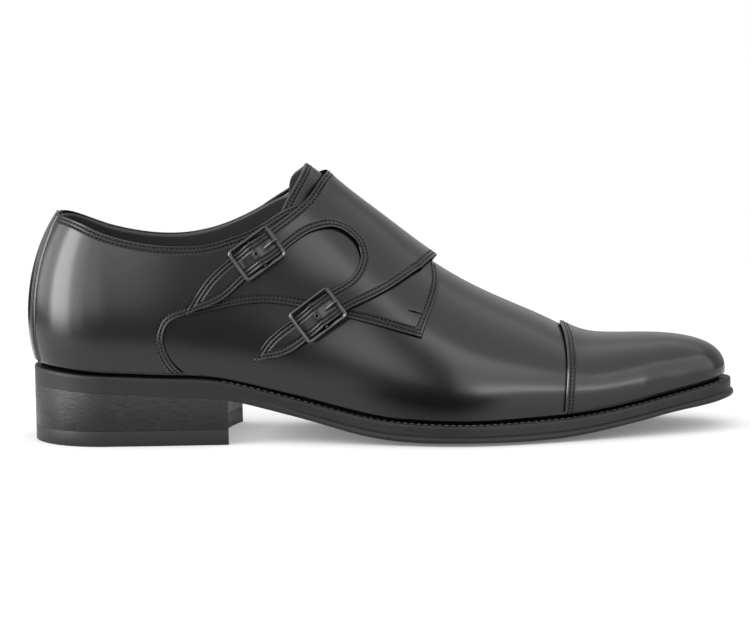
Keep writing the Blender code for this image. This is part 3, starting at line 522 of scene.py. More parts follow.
def makeRimWearAndHighlightGroup():
    # wear along a rim together with a painted highlight on the rolled edge, broken up, from the distance to
    # the rim in millimetres
    sizes = {"Edge Distance": 99.0, "Rim Width": 0.5, "Break Up": 0.5}
    group, start, end = newGroup("edgeWearAndHighlight", sizes, ("Wear And Highlight",))
    near = mathNode(group, "DIVIDE", start["Edge Distance"], start["Rim Width"])
    fade = mathNode(group, "MAXIMUM", mathNode(group, "SUBTRACT", 1.0, near), 0.0)
    patchy = noiseNode(group, objectPlace(group), *grainNoise["wear"])
    patchy = mathNode(group, "MULTIPLY_ADD", patchy, start["Break Up"], 0.5)
    link(group, mathNode(group, "MULTIPLY", fade, patchy), end["Wear And Highlight"])
    return group


def makeSeamGroup():
    # soft channels under the rows of stitches, and the fold that swells along the edge outside them
    sizes = {"Seam Distance": 99.0, "First Row": 1.5, "Second Row": 3.1, "Row Width": 0.45}
    group, start, end = newGroup("seamChannels", sizes, ("Channel", "Fold"))
    channels = []
    for key in ("First Row", "Second Row"):
        off = mathNode(group, "SUBTRACT", start["Seam Distance"], start[key])
        off = mathNode(group, "DIVIDE", off, start["Row Width"])
        off = mathNode(group, "MULTIPLY", off, off)
        channels.append(mathNode(group, "EXPONENT", mathNode(group, "MULTIPLY", off, -1.0)))
    link(group, mathNode(group, "MAXIMUM", *channels), end["Channel"])
    ratio = mathNode(group, "DIVIDE", start["Seam Distance"], start["Second Row"])
    link(group, mathNode(group, "MAXIMUM", mathNode(group, "SUBTRACT", 1.0, ratio), 0.0), end["Fold"])
    return group


grainGroup, rimWearAndHighlightGroup, seamGroup = makeGrainGroup(), makeRimWearAndHighlightGroup(), makeSeamGroup()


def leatherMaterial(name, look, rows=None):
    material, tree, shader = nodeMaterial(name)
    grainKeys = ("Pore Size", "Pore Depth", "Wave Depth")
    grain = placeGroup(tree, grainGroup, {key: look[key] for key in grainKeys})
    rim = attributeNode(tree, "rimDistance")
    edge = placeGroup(tree, rimWearAndHighlightGroup, {"Edge Distance": rim, "Rim Width": look["rimWidth"]})
    colour = mixColour(tree, grain["Cloud"], look["dark"], look["light"])
    # the rim is lighter: partly wear, partly a painted highlight along the rolled edge
    colour = mixColour(tree, edge["Wear And Highlight"], colour, look["wearAndHighlight"])
    rough = mathNode(tree, "MULTIPLY_ADD", grain["Fine"], look["roughSpread"], look["rough"])
    height = grain["Height"]
    if rows:
        seam = placeGroup(tree, seamGroup, {
            "Seam Distance": attributeNode(tree, "seamDistance"),
            "First Row": rows[0], "Second Row": rows[1], "Row Width": look["rowWidth"],
        })
        channel = seam["Channel"]
        # painted shade: the stitch channels are darker in colour
        channelShade = mathNode(tree, "MULTIPLY", channel, look["channelShadeShare"])
        colour = mixColour(tree, channelShade, colour, look["channel"])
        rough = mathNode(tree, "MULTIPLY_ADD", channel, look["channelRough"], rough)
        height = mathNode(tree, "MULTIPLY_ADD", channel, -look["rowDepth"], height)
        height = mathNode(tree, "MULTIPLY_ADD", seam["Fold"], look["foldRise"], height)
    dress(tree, shader, colour, rough, height)
    shader.inputs["Specular IOR Level"].default_value = look["specular"]
    return material


# the rim colour is lighter than the leather: wear, and a painted highlight along the rolled edges
calfLook = {
    "Pore Size": 0.45, "Pore Depth": 0.009, "Wave Depth": 0.05,
    "dark": (0.0018, 0.0018, 0.0019), "light": (0.0035, 0.0035, 0.0037), "wearAndHighlight": (0.035, 0.035, 0.036),
    "rough": 0.215, "roughSpread": 0.06, "rimWidth": 0.5, "specular": 0.5,
    # channel is the colour of the painted shade in the stitch channels
    "channel": (0.001, 0.001, 0.001), "channelShadeShare": 0.8, "channelRough": 0.25,
    "rowWidth": 0.42, "rowDepth": 0.42, "foldRise": 0.25,
}
calf = leatherMaterial("blackCalf", calfLook)
calfSewn = leatherMaterial("blackCalfSewn", calfLook, (1.5, 3.1))
liningLeather = leatherMaterial("liningLeather", {
    "Pore Size": 0.7, "Pore Depth": 0.03, "Wave Depth": 0.12,
    "dark": (0.016, 0.016, 0.017), "light": (0.024, 0.024, 0.025), "wearAndHighlight": (0.04, 0.04, 0.042),
    "rough": 0.5, "roughSpread": 0.2, "rimWidth": 0.5, "specular": 0.4,
})


def threadMaterial(name, look):
    material, tree, shader = nodeMaterial(name)
    twist = noiseNode(tree, objectPlace(tree), *look["twist"])
    dark = tuple(channel * look["shade"] for channel in look["colour"])
    dress(tree, shader, mixColour(tree, twist, dark, look["colour"]), look["rough"])
    shader.inputs["Sheen Weight"].default_value = look["sheen"]
    return material


threadLook = {
    "colour": (0.014, 0.014, 0.0145), "shade": 0.6, "twist": (3000.0, 2.0), "rough": 0.5, "sheen": 0.2,
}
blackThread = threadMaterial("blackThread", threadLook)
weltThread = threadMaterial("weltThread", {**threadLook, "colour": (0.03, 0.03, 0.03)})


paintedShadeLook = {
    "dark": (0.0008, 0.0008, 0.0008), "light": (0.002, 0.002, 0.002), "rough": 1.0, "dust": (900.0, 2.0),
}


# a flat black without reflection, which paints the shade in holes and crevices
def paintedShadeMaterial():
    material, tree, shader = nodeMaterial("paintedShadeAndEdgeInk")
    dust = noiseNode(tree, objectPlace(tree), *paintedShadeLook["dust"])
    dress(tree, shader, mixColour(tree, dust, paintedShadeLook["dark"], paintedShadeLook["light"]), paintedShadeLook["rough"])
    shader.inputs["Specular IOR Level"].default_value = 0.0
    return material


paintedShadeAndEdgeInk = paintedShadeMaterial()  # painted shade: flat black without reflection in the needle holes, the strap holes, the tack's slit and the crevice beside the welt; on cut edges it is black edge paint with the shade under the edge painted in


rubberNoise = {"lineDetail": 5.0, "lineRoughness": 0.6, "cloud": (30.0, 3.0), "cloudShare": 0.6}


def rubberMaterial(name, look):
    # drawn-out lines, and a cloud of dust over them
    material, tree, shader = nodeMaterial(name)
    place = objectPlace(tree)
    stretch = tree.nodes.new("ShaderNodeMapping")
    stretch.inputs["Scale"].default_value = look["stretch"]
    link(tree, place, stretch.inputs["Vector"])
    detail = (rubberNoise["lineDetail"], rubberNoise["lineRoughness"])
    lines = noiseNode(tree, stretch.outputs["Vector"], look["scale"], *detail)
    lines = mapRange(tree, lines, 0.5 - look["spread"], 0.5 + look["spread"], kind="LINEAR")
    lined = mixColour(tree, lines, look["dark"], look["light"])
    cloud = noiseNode(tree, place, *rubberNoise["cloud"])
    cloud = mathNode(tree, "MULTIPLY", cloud, rubberNoise["cloudShare"])
    rough = mathNode(tree, "MULTIPLY_ADD", lines, look["roughSpread"], look["rough"])
    dress(tree, shader, mixColour(tree, cloud, lined, look["dust"]), rough, lines, look["depth"])
    shader.inputs["Specular IOR Level"].default_value = look["specular"]
    return material


soleRubber = rubberMaterial("soleRubber", {
    "stretch": (1.0, 1.0, 3.0), "scale": 500.0, "depth": 0.06,
    "dark": (0.008, 0.008, 0.0085), "light": (0.013, 0.013, 0.0135), "dust": (0.011, 0.011, 0.0115),
    "rough": 0.40, "roughSpread": 0.12, "spread": 0.3, "specular": 0.22,
})
stackRubber = rubberMaterial("stackRubber", {
    "stretch": (0.12, 0.12, 1.0), "scale": 2300.0, "depth": 0.2,
    "dark": (0.001, 0.001, 0.0011), "light": (0.008, 0.008, 0.0083), "dust": (0.003, 0.003, 0.0033),
    "rough": 0.25, "roughSpread": 0.22, "spread": 0.14, "specular": 0.32,
})
metalLook = {
    "dark": (0.058, 0.058, 0.06), "light": (0.088, 0.088, 0.09), "rough": 0.2, "roughSpread": 0.16,
    "smear": (180.0, 4.0),
}


def metalMaterial():
    material, tree, shader = nodeMaterial("gunmetal")
    smear = noiseNode(tree, objectPlace(tree), *metalLook["smear"])
    rough = mathNode(tree, "MULTIPLY_ADD", smear, metalLook["roughSpread"], metalLook["rough"])
    dress(tree, shader, mixColour(tree, smear, metalLook["dark"], metalLook["light"]), rough)
    shader.inputs["Metallic"].default_value = 1.0
    return material


gunmetal = metalMaterial()
print("materials made")


# laying and sewing
def denseEdge(edge, times=10):
    # the same run with points close together
    at = np.linspace(0, len(edge) - 1, times * (len(edge) - 1) + 1)
    return np.stack([np.interp(at, np.arange(len(edge)), edge[:, k]) for k in (0, 1)], -1)


def pointTree(points):
    tree = KDTree(len(points))
    for k, point in enumerate(points):
        tree.insert(point, k)
    tree.balance()
    return tree


def edgeTree(edges, low):
    lines = np.concatenate([denseEdge(edge) for edge in edges])
    return pointTree(onLast(lines, low(lines)))


def distances(tree, points):
    return np.array([tree.find(point)[2] for point in points])


def sewFlat(grids, join):
    # patterns laid out flat and sewn together where they meet
    bm = bmesh.new()
    for grid in grids:
        addGrid(bm, np.concatenate([grid * chartScale, np.zeros((*grid.shape[:2], 1))], -1) * mm)
    bmesh.ops.remove_doubles(bm, verts=bm.verts, dist=join * mm)
    return bm


def flatChart(verts):
    # chart points of vertices that still lie flat
    return np.array([vert.co[:2] for vert in verts]) / mm / chartScale


def thicken(bm):
    # a second layer over the first, joined round the rim: its faces and its vertices
    made = bmesh.ops.extrude_face_region(bm, geom=list(bm.faces), use_keep_orig=True)["geom"]
    kinds = (bmesh.types.BMFace, bmesh.types.BMVert)
    return [[item for item in made if isinstance(item, kind)] for kind in kinds]


def openEnd(bm, station):
    # no wall where a piece closes on itself
    walls = [f for f in bm.faces if all(abs(v.co.x / mm - station) < 1e-3 for v in f.verts)]
    bmesh.ops.delete(bm, geom=walls, context="FACES")


def turnedIn(near, radius):
    # how far a surface sinks beside a rounded rim
    return radius - np.sqrt(np.maximum(radius**2 - np.maximum(radius - near, 0) ** 2, 0))


def settle(verts, chart, height, marks):
    # vertices go to their places on the last, each with its distances to the rim and the seams
    for k, (vert, place) in enumerate(zip(verts, toWorld(onLast(chart, height)))):
        vert.co = place
        for layer, values in marks:
            vert[layer] = values[k]


def layPiece(name, grids, low, thick, material, seams, seam=None, rise=None, inner=None, edge=None):
    # patterns are sewn flat, given a thickness and laid on the last; seams are the stitched edges,
    # seam is the station where a piece closes on itself, inner and edge are other materials
    bm = sewFlat(grids, join=0.02)
    rimLayer, seamLayer = (bm.verts.layers.float.new(key) for key in ("rimDistance", "seamDistance"))
    for width in sheet["rings"] if seam is None else ():
        bmesh.ops.inset_region(bm, faces=list(bm.faces), thickness=width * mm, depth=0, use_boundary=True)
    rim = flatChart([vert for vert in bm.verts if vert.is_boundary])
    rimPlaces = onLast(rim, low(rim))
    if seam is not None:
        rimPlaces = rimPlaces[np.abs(rim[:, 0] - seam) > 0.01]
    rimTree, seamTree = pointTree(rimPlaces), edgeTree(seams, low)
    bottom, bottomFaces = list(bm.verts), list(bm.faces)
    top = thicken(bm)[1]
    if inner is not None:
        for face in bottomFaces:
            face.material_index = 1
    if seam is not None:
        openEnd(bm, seam)
    radius = min(sheet["foldRadius"], thick / 2)
    for verts, lift, way in ((bottom, 0.0, 1), (top, thick, -1)):
        chart = flatChart(verts)
        height = low(chart)
        base = onLast(chart, height)
        rimAt, seamAt = distances(rimTree, base), distances(seamTree, base)
        if rise is not None:
            height = height + rise(chart)
        height = height + lift + way * turnedIn(rimAt, radius)
        settle(verts, chart, height, ((rimLayer, rimAt), (seamLayer, seamAt)))
    # the cut edge goes black: edge paint, with the shade under the edge painted in and no highlight
    for face in bm.faces if edge is not None else ():
        if max(vert[rimLayer] for vert in face.verts) < sheet["painted"]:
            face.material_index = 1
    closeMesh(bm, join=0.004)
    materials = [item for item in (material, inner, edge) if item is not None]
    piece = newPiece(name, bm, materials, sharpAngle=50)
    print("laid", name, len(piece.data.polygons), "faces")
    return piece


def level(value):
    return lambda chart: np.full(len(chart), float(value))


def makeBead(name, levels, materialIndex):
    # a small ball of one millimetre, to be stretched into a stitch or a needle hole
    bm = bmesh.new()
    bmesh.ops.create_uvsphere(bm, u_segments=6, v_segments=levels, radius=0.5)
    for face in bm.faces:
        face.material_index = materialIndex
    mesh = bpy.data.meshes.new(name)
    bm.to_mesh(mesh)
    bm.free()
    return mesh


stitchMesh = makeBead("stitch", levels=4, materialIndex=0)
# a flat black bead that paints the shade in a hole
holeMesh = makeBead("paintedShadeAndEdgeInk", levels=3, materialIndex=1)
sewing = {
    "pitch": 1.62, "length": 1.02, "width": 0.42, "height": 0.34,
    "sink": 0.10,  # how deep a stitch's middle lies
    "hole": 0.8, "holeHeight": 0.1, "holeRise": 0.01,
    "corner": 0.12,  # how much nearer than its row a stitch may come to another edge
    "above": 6.0, "reach": 12.0,  # where a search for the surface starts, and how far it goes
    "probe": 2.0, "probeEvery": 12, "probeReach": 9.0,  # the search for the side that the piece is on
}


def surfaceOf(piece):
    mesh = piece.data
    places = [vert.co.copy() for vert in mesh.vertices]
    return BVHTree.FromPolygons(places, [tuple(face.vertices) for face in mesh.polygons])


def cast(surface, place, away, reach):
    # the surface's point and normal, looked for from above towards the last
    start = Vector(toWorld(place + away * sewing["above"]))
    return surface.ray_cast(start, Vector(-away), reach * mm)[:2]


def stitchPlaces(line, keep, pitch):
    # indices along a line at every pitch; it starts again where the line was interrupted
    places, travelled, previous = [], pitch, None
    for k, point in enumerate(line):
        if not keep[k]:
            previous = None
            continue
        if previous is not None:
            travelled += np.linalg.norm(point - previous)
        previous = point
        if travelled >= pitch:
            travelled = 0.0
            places.append(k)
    return places


def stitchRows(name, piece, seams, rows, low):
    # rows of stitches at distances in from the sewn edges, sunk a little into the piece
    surface, tree = surfaceOf(piece), edgeTree(seams, low)
    stitch = (sewing["length"], sewing["width"], sewing["height"] * 2)
    hole = (sewing["hole"], sewing["hole"], sewing["holeHeight"])
    bm = bmesh.new()
    count = 0
    for edge in seams:
        chart = denseEdge(edge)
        points = onLast(chart, low(chart))
        away = onLast(chart, low(chart) + 1.0) - points
        along = unit(np.gradient(points, axis=0))
        aside = np.cross(away, along)
        inward = 0  # which side of the edge the piece is on
        for k in range(0, len(points), sewing["probeEvery"]):
            for sign in (1, -1):
                probe = points[k] + aside[k] * sign * sewing["probe"]
                if cast(surface, probe, away[k], sewing["probeReach"])[0] is not None:
                    inward += sign
        aside = aside * (1 if inward > 0 else -1)
        for row in rows:
            line = points + aside * row
            keep = distances(tree, line) > row - sewing["corner"]
            for k in stitchPlaces(line, keep, sewing["pitch"]):
                hit, normal = cast(surface, line[k], away[k], sewing["reach"])
                if hit is None:
                    continue
                forward = Vector(along[k])
                forward = (forward - normal * forward.dot(normal)).normalized()
                axes = (forward, normal.cross(forward), normal)
                between = forward * sewing["pitch"] / 2 + normal * sewing["holeRise"]
                addCopy(bm, stitchMesh, turnedTo(hit - normal * sewing["sink"] * mm, axes, stitch))
                # painted shade: a flat black bead in the needle hole between stitches
                addCopy(bm, holeMesh, turnedTo(hit + between * mm, axes, hole))
                count += 1
    made = newPiece(name, bm, [blackThread, paintedShadeAndEdgeInk])
    print("sewed", name, count, "stitches")


# upper: vamp and quarters as one lasted shell with its lining
upper = {"stations": (46, 92, 66, 60), "levels": 44, "ease": 0.55, "join": 0.01, "footed": 0.999}


def makeUpper():
    stops = (last["back"], last["heelPivot"], throatEnd, last["toePivot"], last["tip"])
    runs = [np.linspace(a, b, count) for a, b, count in zip(stops[:-1], stops[1:], upper["stations"])]
    along = np.unique(np.concatenate(runs))
    levels = np.concatenate([[0.0, sheet["crevice"]], eased(upper["levels"], upper["ease"])[2:]])
    grids = [
        chartOf(along[:, None] + 0 * levels, collarShare[side](along)[:, None] * levels, side)
        for side in bothSides
    ]
    bm = sewFlat(grids, join=upper["join"])
    rimLayer, seamLayer = (bm.verts.layers.float.new(key) for key in ("rimDistance", "seamDistance"))
    rim = flatChart([vert for vert in bm.verts if vert.is_boundary])
    footed = np.abs(rim[:, 1]) > upper["footed"]
    join = upper["join"]
    atEnd = (rim[:, 0] < last["back"] + join) | (rim[:, 0] > last["tip"] - join)
    rim = rim[~footed & ~atEnd]
    tree = pointTree(onLast(rim, np.full(len(rim), -1.0)))
    # painted shade: the row of faces at the foot, beside the welt, is black
    for face in bm.faces:
        if max(abs(vert.co.y) for vert in face.verts) > upper["footed"] * chartScale[1] * mm:
            face.material_index = 2
    outside = list(bm.verts)
    liningFaces, inside = thicken(bm)
    for face in liningFaces:
        face.material_index = 1
    for end in (last["back"], last["tip"]):
        openEnd(bm, end)
    half = sheet["wall"] / 2
    for verts, way in ((outside, 1), (inside, -1)):
        chart = flatChart(verts)
        near = distances(tree, onLast(chart, np.full(len(chart), -1.0)))
        height = -half + way * (half - turnedIn(near, half))
        settle(verts, chart, height, ((rimLayer, near), (seamLayer, near)))
    closeMesh(bm, join=0.004)
    piece = newPiece("upper_shell", bm, [calf, liningLeather, paintedShadeAndEdgeInk], sharpAngle=50)
    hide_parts("upper")
    print("upper", len(piece.data.polygons), "faces")


makeUpper()


# tongue
tongue = {
    "top": 120.6, "front": 176.0, "halfTurn": 0.48, "thick": 1.8, "room": 1.5,
    "fall": {"outer": (20.0, 0.45, 2.6), "inner": (7.6, 0.22, 3.0)},  # depth, width, sharpness
    "rise": 4.2, "riseEnd": 106.0, "riseBack": 126.0, "riseFront": 150.0, "rows": (1.4, 2.6),
    "across": 80, "spread": 1.3, "down": 50, "ease": 0.6,  # how its pattern is divided
}


def tongueTop(turn):
    falls = []
    for side in bothSides:
        depth, width, sharpness = tongue["fall"][side]
        falls.append(depth * (1 - np.exp(-((np.abs(turn) / width) ** sharpness))))
    return tongue["top"] - np.where(turn < 0, *falls)


def tongueLow(chart):
    # deep under the throat, and up in its opening behind the flap
    s, turn = chart.T
    share = np.where(turn < 0, collarShare["outer"](s), collarShare["inner"](s))
    opening = np.maximum(1.0 - share, 0.01)
    inside = np.clip(1 - (turn / opening) ** 2, 0, 1) ** 2
    end = np.clip((s - tongue["riseEnd"]) / (tongue["riseBack"] - tongue["riseEnd"]), 0, 1)
    rise = tongue["rise"] * inside * end * smoothStep(s, tongue["riseFront"], tongue["riseBack"])
    return rise - sheet["wall"] - tongue["room"] - tongue["thick"]


def makeTongue():
    across = np.linspace(-1, 1, tongue["across"] + 1)
    turn = tongue["halfTurn"] * np.sign(across) * np.abs(across) ** tongue["spread"]
    share = eased(tongue["down"], tongue["ease"])[:, None]
    s = tongueTop(turn) * (1 - share) + tongue["front"] * share
    grid = np.stack([s, np.broadcast_to(turn, s.shape)], -1)
    seams = [grid[0]]
    piece = layPiece(
        "tongue_leaf", [grid], tongueLow, tongue["thick"], calfSewn, seams, inner=liningLeather
    )
    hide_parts("tongue")
    stitchRows("tongue_stitches", piece, seams, tongue["rows"], tongueLow)


makeTongue()


# toe cap
cap = {
    "edge": 230.0, "bow": 1.6, "rows": (1.7, 3.4), "across": 120,
    "closeRings": (0, 0.004, 0.011, 0.02), "firstRing": 0.035, "rings": 66,  # shares of the way to the tip
}


def makeToeCap():
    turn = np.linspace(-1, 1, cap["across"] + 1)
    share = np.concatenate([cap["closeRings"], np.linspace(cap["firstRing"], 1, cap["rings"])])[:, None]
    edge = cap["edge"] + cap["bow"] * np.sin(math.pi * np.abs(turn))
    s = edge * (1 - share) + last["tip"] * share
    foot = np.where(turn < 0, footShare(s, "outer"), footShare(s, "inner"))
    grid = np.stack([s, turn * (1 - foot)], -1)
    low, seams = level(sheet["lap"]), [grid[0]]
    piece = layPiece(
        "toe_cap_leather", [grid], low, sheet["thick"], calfSewn, seams, seam=last["tip"], edge=paintedShadeAndEdgeInk
    )
    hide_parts("toe_cap")
    stitchRows("toe_cap_stitches", piece, seams, cap["rows"], low)


makeToeCap()


# backstay
backstay = {"edge": -3.5, "thick": 1.6, "rows": (1.3,), "across": 14, "down": 70}


def makeBackstay():
    grids = []
    for side in bothSides:
        top = topEdge(side, backstay["edge"], last["back"], backstay["across"])
        foot = footEdge(side, backstay["edge"], last["back"], backstay["across"])
        ends = [straight(top[k], foot[k], backstay["down"]) for k in (0, -1)]
        grids.append(patch(top, foot, *ends))
    low, seams = level(sheet["lap"]), [grid[0] for grid in grids]
    piece = layPiece("backstay_strip", grids, low, backstay["thick"], calfSewn, seams, seam=last["back"])
    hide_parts("backstay")
    stitchRows("backstay_stitches", piece, seams, backstay["rows"], low)


makeBackstay()


# outer quarter: places are stations and heights on the outer side
quarter = {
    "back": -2.9, "footEnd": 66.5, "collarStops": (8, 12, 24, 70, 150), "collarSteps": (6, 3, 3, 3, 11),
    "facing": ((150, 88.4), (163, 79.8), (175.5, 72.6)), "corner": (169.0, 46.2),
    "loopUnder": ((62.8, 34.8), (59.6, 40.0), (58.2, 46.0)), "loopOver": ((59.7, 51.8), (67.5, 56.3)),
    "lower": ((79, 58.5), (98, 61.4), (115, 59.8), (140, 54.2)),
    "front": ((176.9, 67.9), (175.4, 61.2), (172.5, 54.8)), "rows": (1.5, 3.1),
}


def makeQuarterOuter():
    # two patterns that meet along a line from the collar to the loop's rearmost point
    n = fine
    facing, corner = on("outer", *quarter["facing"]), quarter["corner"]
    stops, steps = (quarter["back"], *quarter["collarStops"]), quarter["collarSteps"]
    collar = [topEdge("outer", a, b, k * n) for a, b, k in zip(stops[:-1], stops[1:], steps)]
    top = chain(*collar, through([facing[:1], facing[1:]], [3 * n]))
    foot = chain(
        footEdge("outer", quarter["back"], last["heelPivot"], 8 * n),
        footEdge("outer", last["heelPivot"], quarter["footEnd"], 4 * n),
    )
    under, over = on("outer", *quarter["loopUnder"]), on("outer", *quarter["loopOver"])
    edge = on("outer", *quarter["lower"], corner)
    lower = through([foot[-1:], under, over, edge], [3 * n, 3 * n, 14 * n])
    front = through([facing[2:], on("outer", *quarter["front"], corner)], [9 * n])
    upperStop, lowerStop = 12 * n, 3 * n
    join = straight(top[upperStop], lower[lowerStop], 9 * n)
    back = straight(top[0], foot[0], 12 * n)
    rear = patch(top[: upperStop + 1], foot, back, chain(join, lower[lowerStop::-1]))
    fore = patch(top[upperStop:], lower[lowerStop:], join, front)
    # the front of the top edge lies under the flap and isn't stitched
    low, seams = level(sheet["lap"]), [top[: 23 * n], lower, front]
    piece = layPiece(
        "quarter_outer_leather", [rear, fore], low, sheet["thick"], calfSewn, seams, edge=paintedShadeAndEdgeInk
    )
    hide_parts("quarter_outer")
    stitchRows("quarter_outer_stitches", piece, seams, quarter["rows"], low)
    return piece


quarterOuter = makeQuarterOuter()


# buckles
buckle = {
    "length": 21.4, "width": 16.2, "bar": 1.7, "thick": 1.6, "corner": 2.2, "bevel": 0.22,
    "section": ((-1, 0.0), (1, 0.0), (1, 0.75), (0.25, 1.0), (-1, 0.6), (-1, 0.0)),  # out, up, as shares
    "barRadius": 0.7, "prongRadius": 0.7, "prongTip": 11.0, "prongSteps": 24,
    "tipLength": 0.45, "tipBlunt": 0.02,  # the prong's rounded tip, in stops of its path
    "humpHalf": 8.6, "humpHalfWidth": 9.5,
    "low": strapLow + strap["thick"] + sheet["lap"],
}
buckle["barHeight"] = buckle["low"] - 0.2
buckle["hump"] = buckle["barHeight"] + buckle["barRadius"] + last["gap"] - strapLow
buckleRows = (  # name, then station and height of the centre and of a point on each side along the strap
    ("upper", 99.2, 82.0, 90.4, 76.0, 108.0, 88.1),
    ("lower", 125.4, 55.8, 116.8, 49.5, 134.0, 62.1),
)


def buckleAxes(row):
    _, s, z, s0, z0, s1, z1 = row
    at = np.array([s, s0, s1], float)
    share = shareAt(at, np.array([z, z0, z1], float), "outer")
    centre, start, end = lastPoint(at, share, "outer")
    out = lastNormal(at, share, "outer")[0]
    along = end - start
    along = unit(along - out * along.dot(out))
    return centre, along, np.cross(out, along), out


def bucklePlace(row, places):
    # places along and across the strap and out of it, from a buckle's centre
    centre, *axes = buckleAxes(row)
    return toWorld(centre + np.asarray(places, float) @ np.array(axes))


def beside(row, *places):
    # chart points that lie t along and w across the strap from a buckle's centre, found by Newton's steps
    centre, along, across, _ = buckleAxes(row)
    axes = np.stack([along, across])
    at = np.tile(on("outer", row[1:3]), (len(places), 1))
    for _ in range(8):
        here = (onLast(at, np.zeros(len(at))) - centre) @ axes.T
        slopes = []
        for step in ((0.1, 0.0), (0.0, 0.001)):
            there = (onLast(at + step, np.zeros(len(at))) - centre) @ axes.T
            slopes.append((there - here) / max(step))
        at = at + np.linalg.solve(np.stack(slopes, -1), (np.array(places, float) - here)[..., None])[..., 0]
    return at


def humpAt(t):
    return buckle["hump"] * np.cos(math.pi * t / (2 * buckle["humpHalf"])) ** 2


def strapRise(chart):
    # rise of the straps over the centre bars
    points = onLast(chart, np.zeros(len(chart)))
    rise = np.zeros(len(points))
    for row in buckleRows:
        centre, along, across, _ = buckleAxes(row)
        t, w = (points - centre) @ along, (points - centre) @ across
        near = (np.abs(t) < buckle["humpHalf"]) & (np.abs(w) < buckle["humpHalfWidth"]) & (chart[:, 1] < 0)
        rise = rise + np.where(near, humpAt(t), 0.0)
    return rise


def tube(bm, path, radius, row, sides=16):
    # round bar through (t, w, h) places in a buckle's own axes, closed at its ends
    way = unit(np.gradient(path, axis=0))
    up = unit(np.cross(way, (0, 1, 0) if abs(way[0][1]) < 0.5 else (1, 0, 0)))
    aside = np.cross(way, up)
    angle = np.linspace(0, 2 * math.pi, sides + 1)[None, :, None]
    ring = up[:, None] * np.cos(angle) + aside[:, None] * np.sin(angle)
    places = path[:, None] + ring * np.broadcast_to(radius, len(path))[:, None, None]
    ends = [np.repeat(path[k][None, None], sides + 1, 1) for k in (0, -1)]
    addGrid(bm, bucklePlace(row, np.concatenate([ends[0], places, ends[1]])))


def makeFrame(row):
    half = (np.array([buckle["length"], buckle["width"]]) - buckle["bar"]) / 2
    radius = buckle["corner"] - buckle["bar"] / 2
    steps = 7
    middles, ways = [], []
    for turn, corner in enumerate(((1, 1), (-1, 1), (-1, -1), (1, -1))):
        for step in range(steps):
            angle = math.pi / 2 * (turn + step / (steps - 1))
            ways.append(np.array([math.cos(angle), math.sin(angle)]))
            middles.append(corner * (half - radius) + ways[-1] * radius)
    middles, ways = np.array(middles + middles[:1]), np.array(ways + ways[:1])
    section = np.array(buckle["section"])[None]
    flat = middles[:, None] + ways[:, None] * section[..., :1] * buckle["bar"] / 2
    height = buckle["low"] + section[..., 1:] * buckle["thick"] + np.zeros((len(flat), 1, 1))
    bm = bmesh.new()
    addGrid(bm, bucklePlace(row, np.concatenate([flat, height], -1)))
    bar = np.array([(0, w, buckle["barHeight"]) for w in (-half[1], 0, half[1])])
    tube(bm, bar, buckle["barRadius"], row)
    closeMesh(bm, join=0.002)
    piece = newPiece("buckle_frame_" + row[0], bm, [gunmetal])
    softenEdges(piece, buckle["bevel"], segments=3, angle=25)
    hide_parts("buckle_" + row[0])


def makeProng(row):
    # out of the strap's hole and over the frame, with a rounded tip
    rest = buckle["low"] + buckle["thick"] + last["gap"] + buckle["prongRadius"]
    stops = np.array(((2.7, 3.2), (3.6, 4.7), (6.6, rest - 0.4), (9.0, rest), (buckle["prongTip"], rest)))
    end = len(stops) - 1
    at = np.linspace(0, end, buckle["prongSteps"] + 1)
    t, h = (smoothCurve(np.arange(len(stops)), values, levelEnds=False)(at) for values in stops.T)
    tip = np.clip((end + buckle["tipBlunt"] - at) / buckle["tipLength"], 0, 1)
    taper = buckle["prongRadius"] * np.sqrt(tip)
    bm = bmesh.new()
    tube(bm, np.stack([t, np.zeros(len(at)), h], -1), taper, row)
    closeMesh(bm, join=0.002)
    piece = newPiece("prong_pin_" + row[0], bm, [gunmetal], sharpAngle=40)
    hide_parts("prong_" + row[0])


for row in buckleRows:
    makeFrame(row)
    makeProng(row)
print("buckles made")

strapHole = {
    "at": -0.4, "radius": 0.95, "lip": 0.22, "size": (1.5, 1.5, 0.5),
    "prongAt": 4.6, "prongSize": (2.6, 1.5, 0.7),
}


def makeStrapHoles(row):
    # the spare hole at the top of the hump with its pressed lip, and the hole that the prong comes out of;
    # each hole holds a black disc, the painted shade inside it
    bm = bmesh.new()
    face = strapLow + strap["thick"]
    spare, prong = ((t, 0, face + humpAt(t)) for t in (strapHole["at"], strapHole["prongAt"]))
    lip = bmesh.ops.create_circle(bm, segments=8, radius=strapHole["lip"])["verts"]
    bmesh.ops.rotate(bm, matrix=Matrix.Rotation(math.pi / 2, 3, "X"), verts=lip)
    bmesh.ops.translate(bm, vec=(strapHole["radius"], 0, 0), verts=lip)
    bmesh.ops.spin(
        bm, geom=lip + list(bm.edges), axis=(0, 0, 1), cent=(0, 0, 0),
        angle=2 * math.pi, steps=28, use_merge=True,
    )
    bmesh.ops.translate(bm, vec=spare, verts=bm.verts)
    # painted shade: a flat black disc in each hole
    for place, size in ((spare, strapHole["size"]), (prong, strapHole["prongSize"])):
        addCopy(bm, holeMesh, Matrix.Translation(place) @ Matrix.Diagonal((*size, 1)))
    for vert, place in zip(bm.verts, bucklePlace(row, [vert.co for vert in bm.verts])):
        vert.co = place
    bmesh.ops.recalc_face_normals(bm, faces=bm.faces)
    piece = newPiece("strap_hole_" + row[0], bm, [calf, paintedShadeAndEdgeInk], sharpAngle=50)


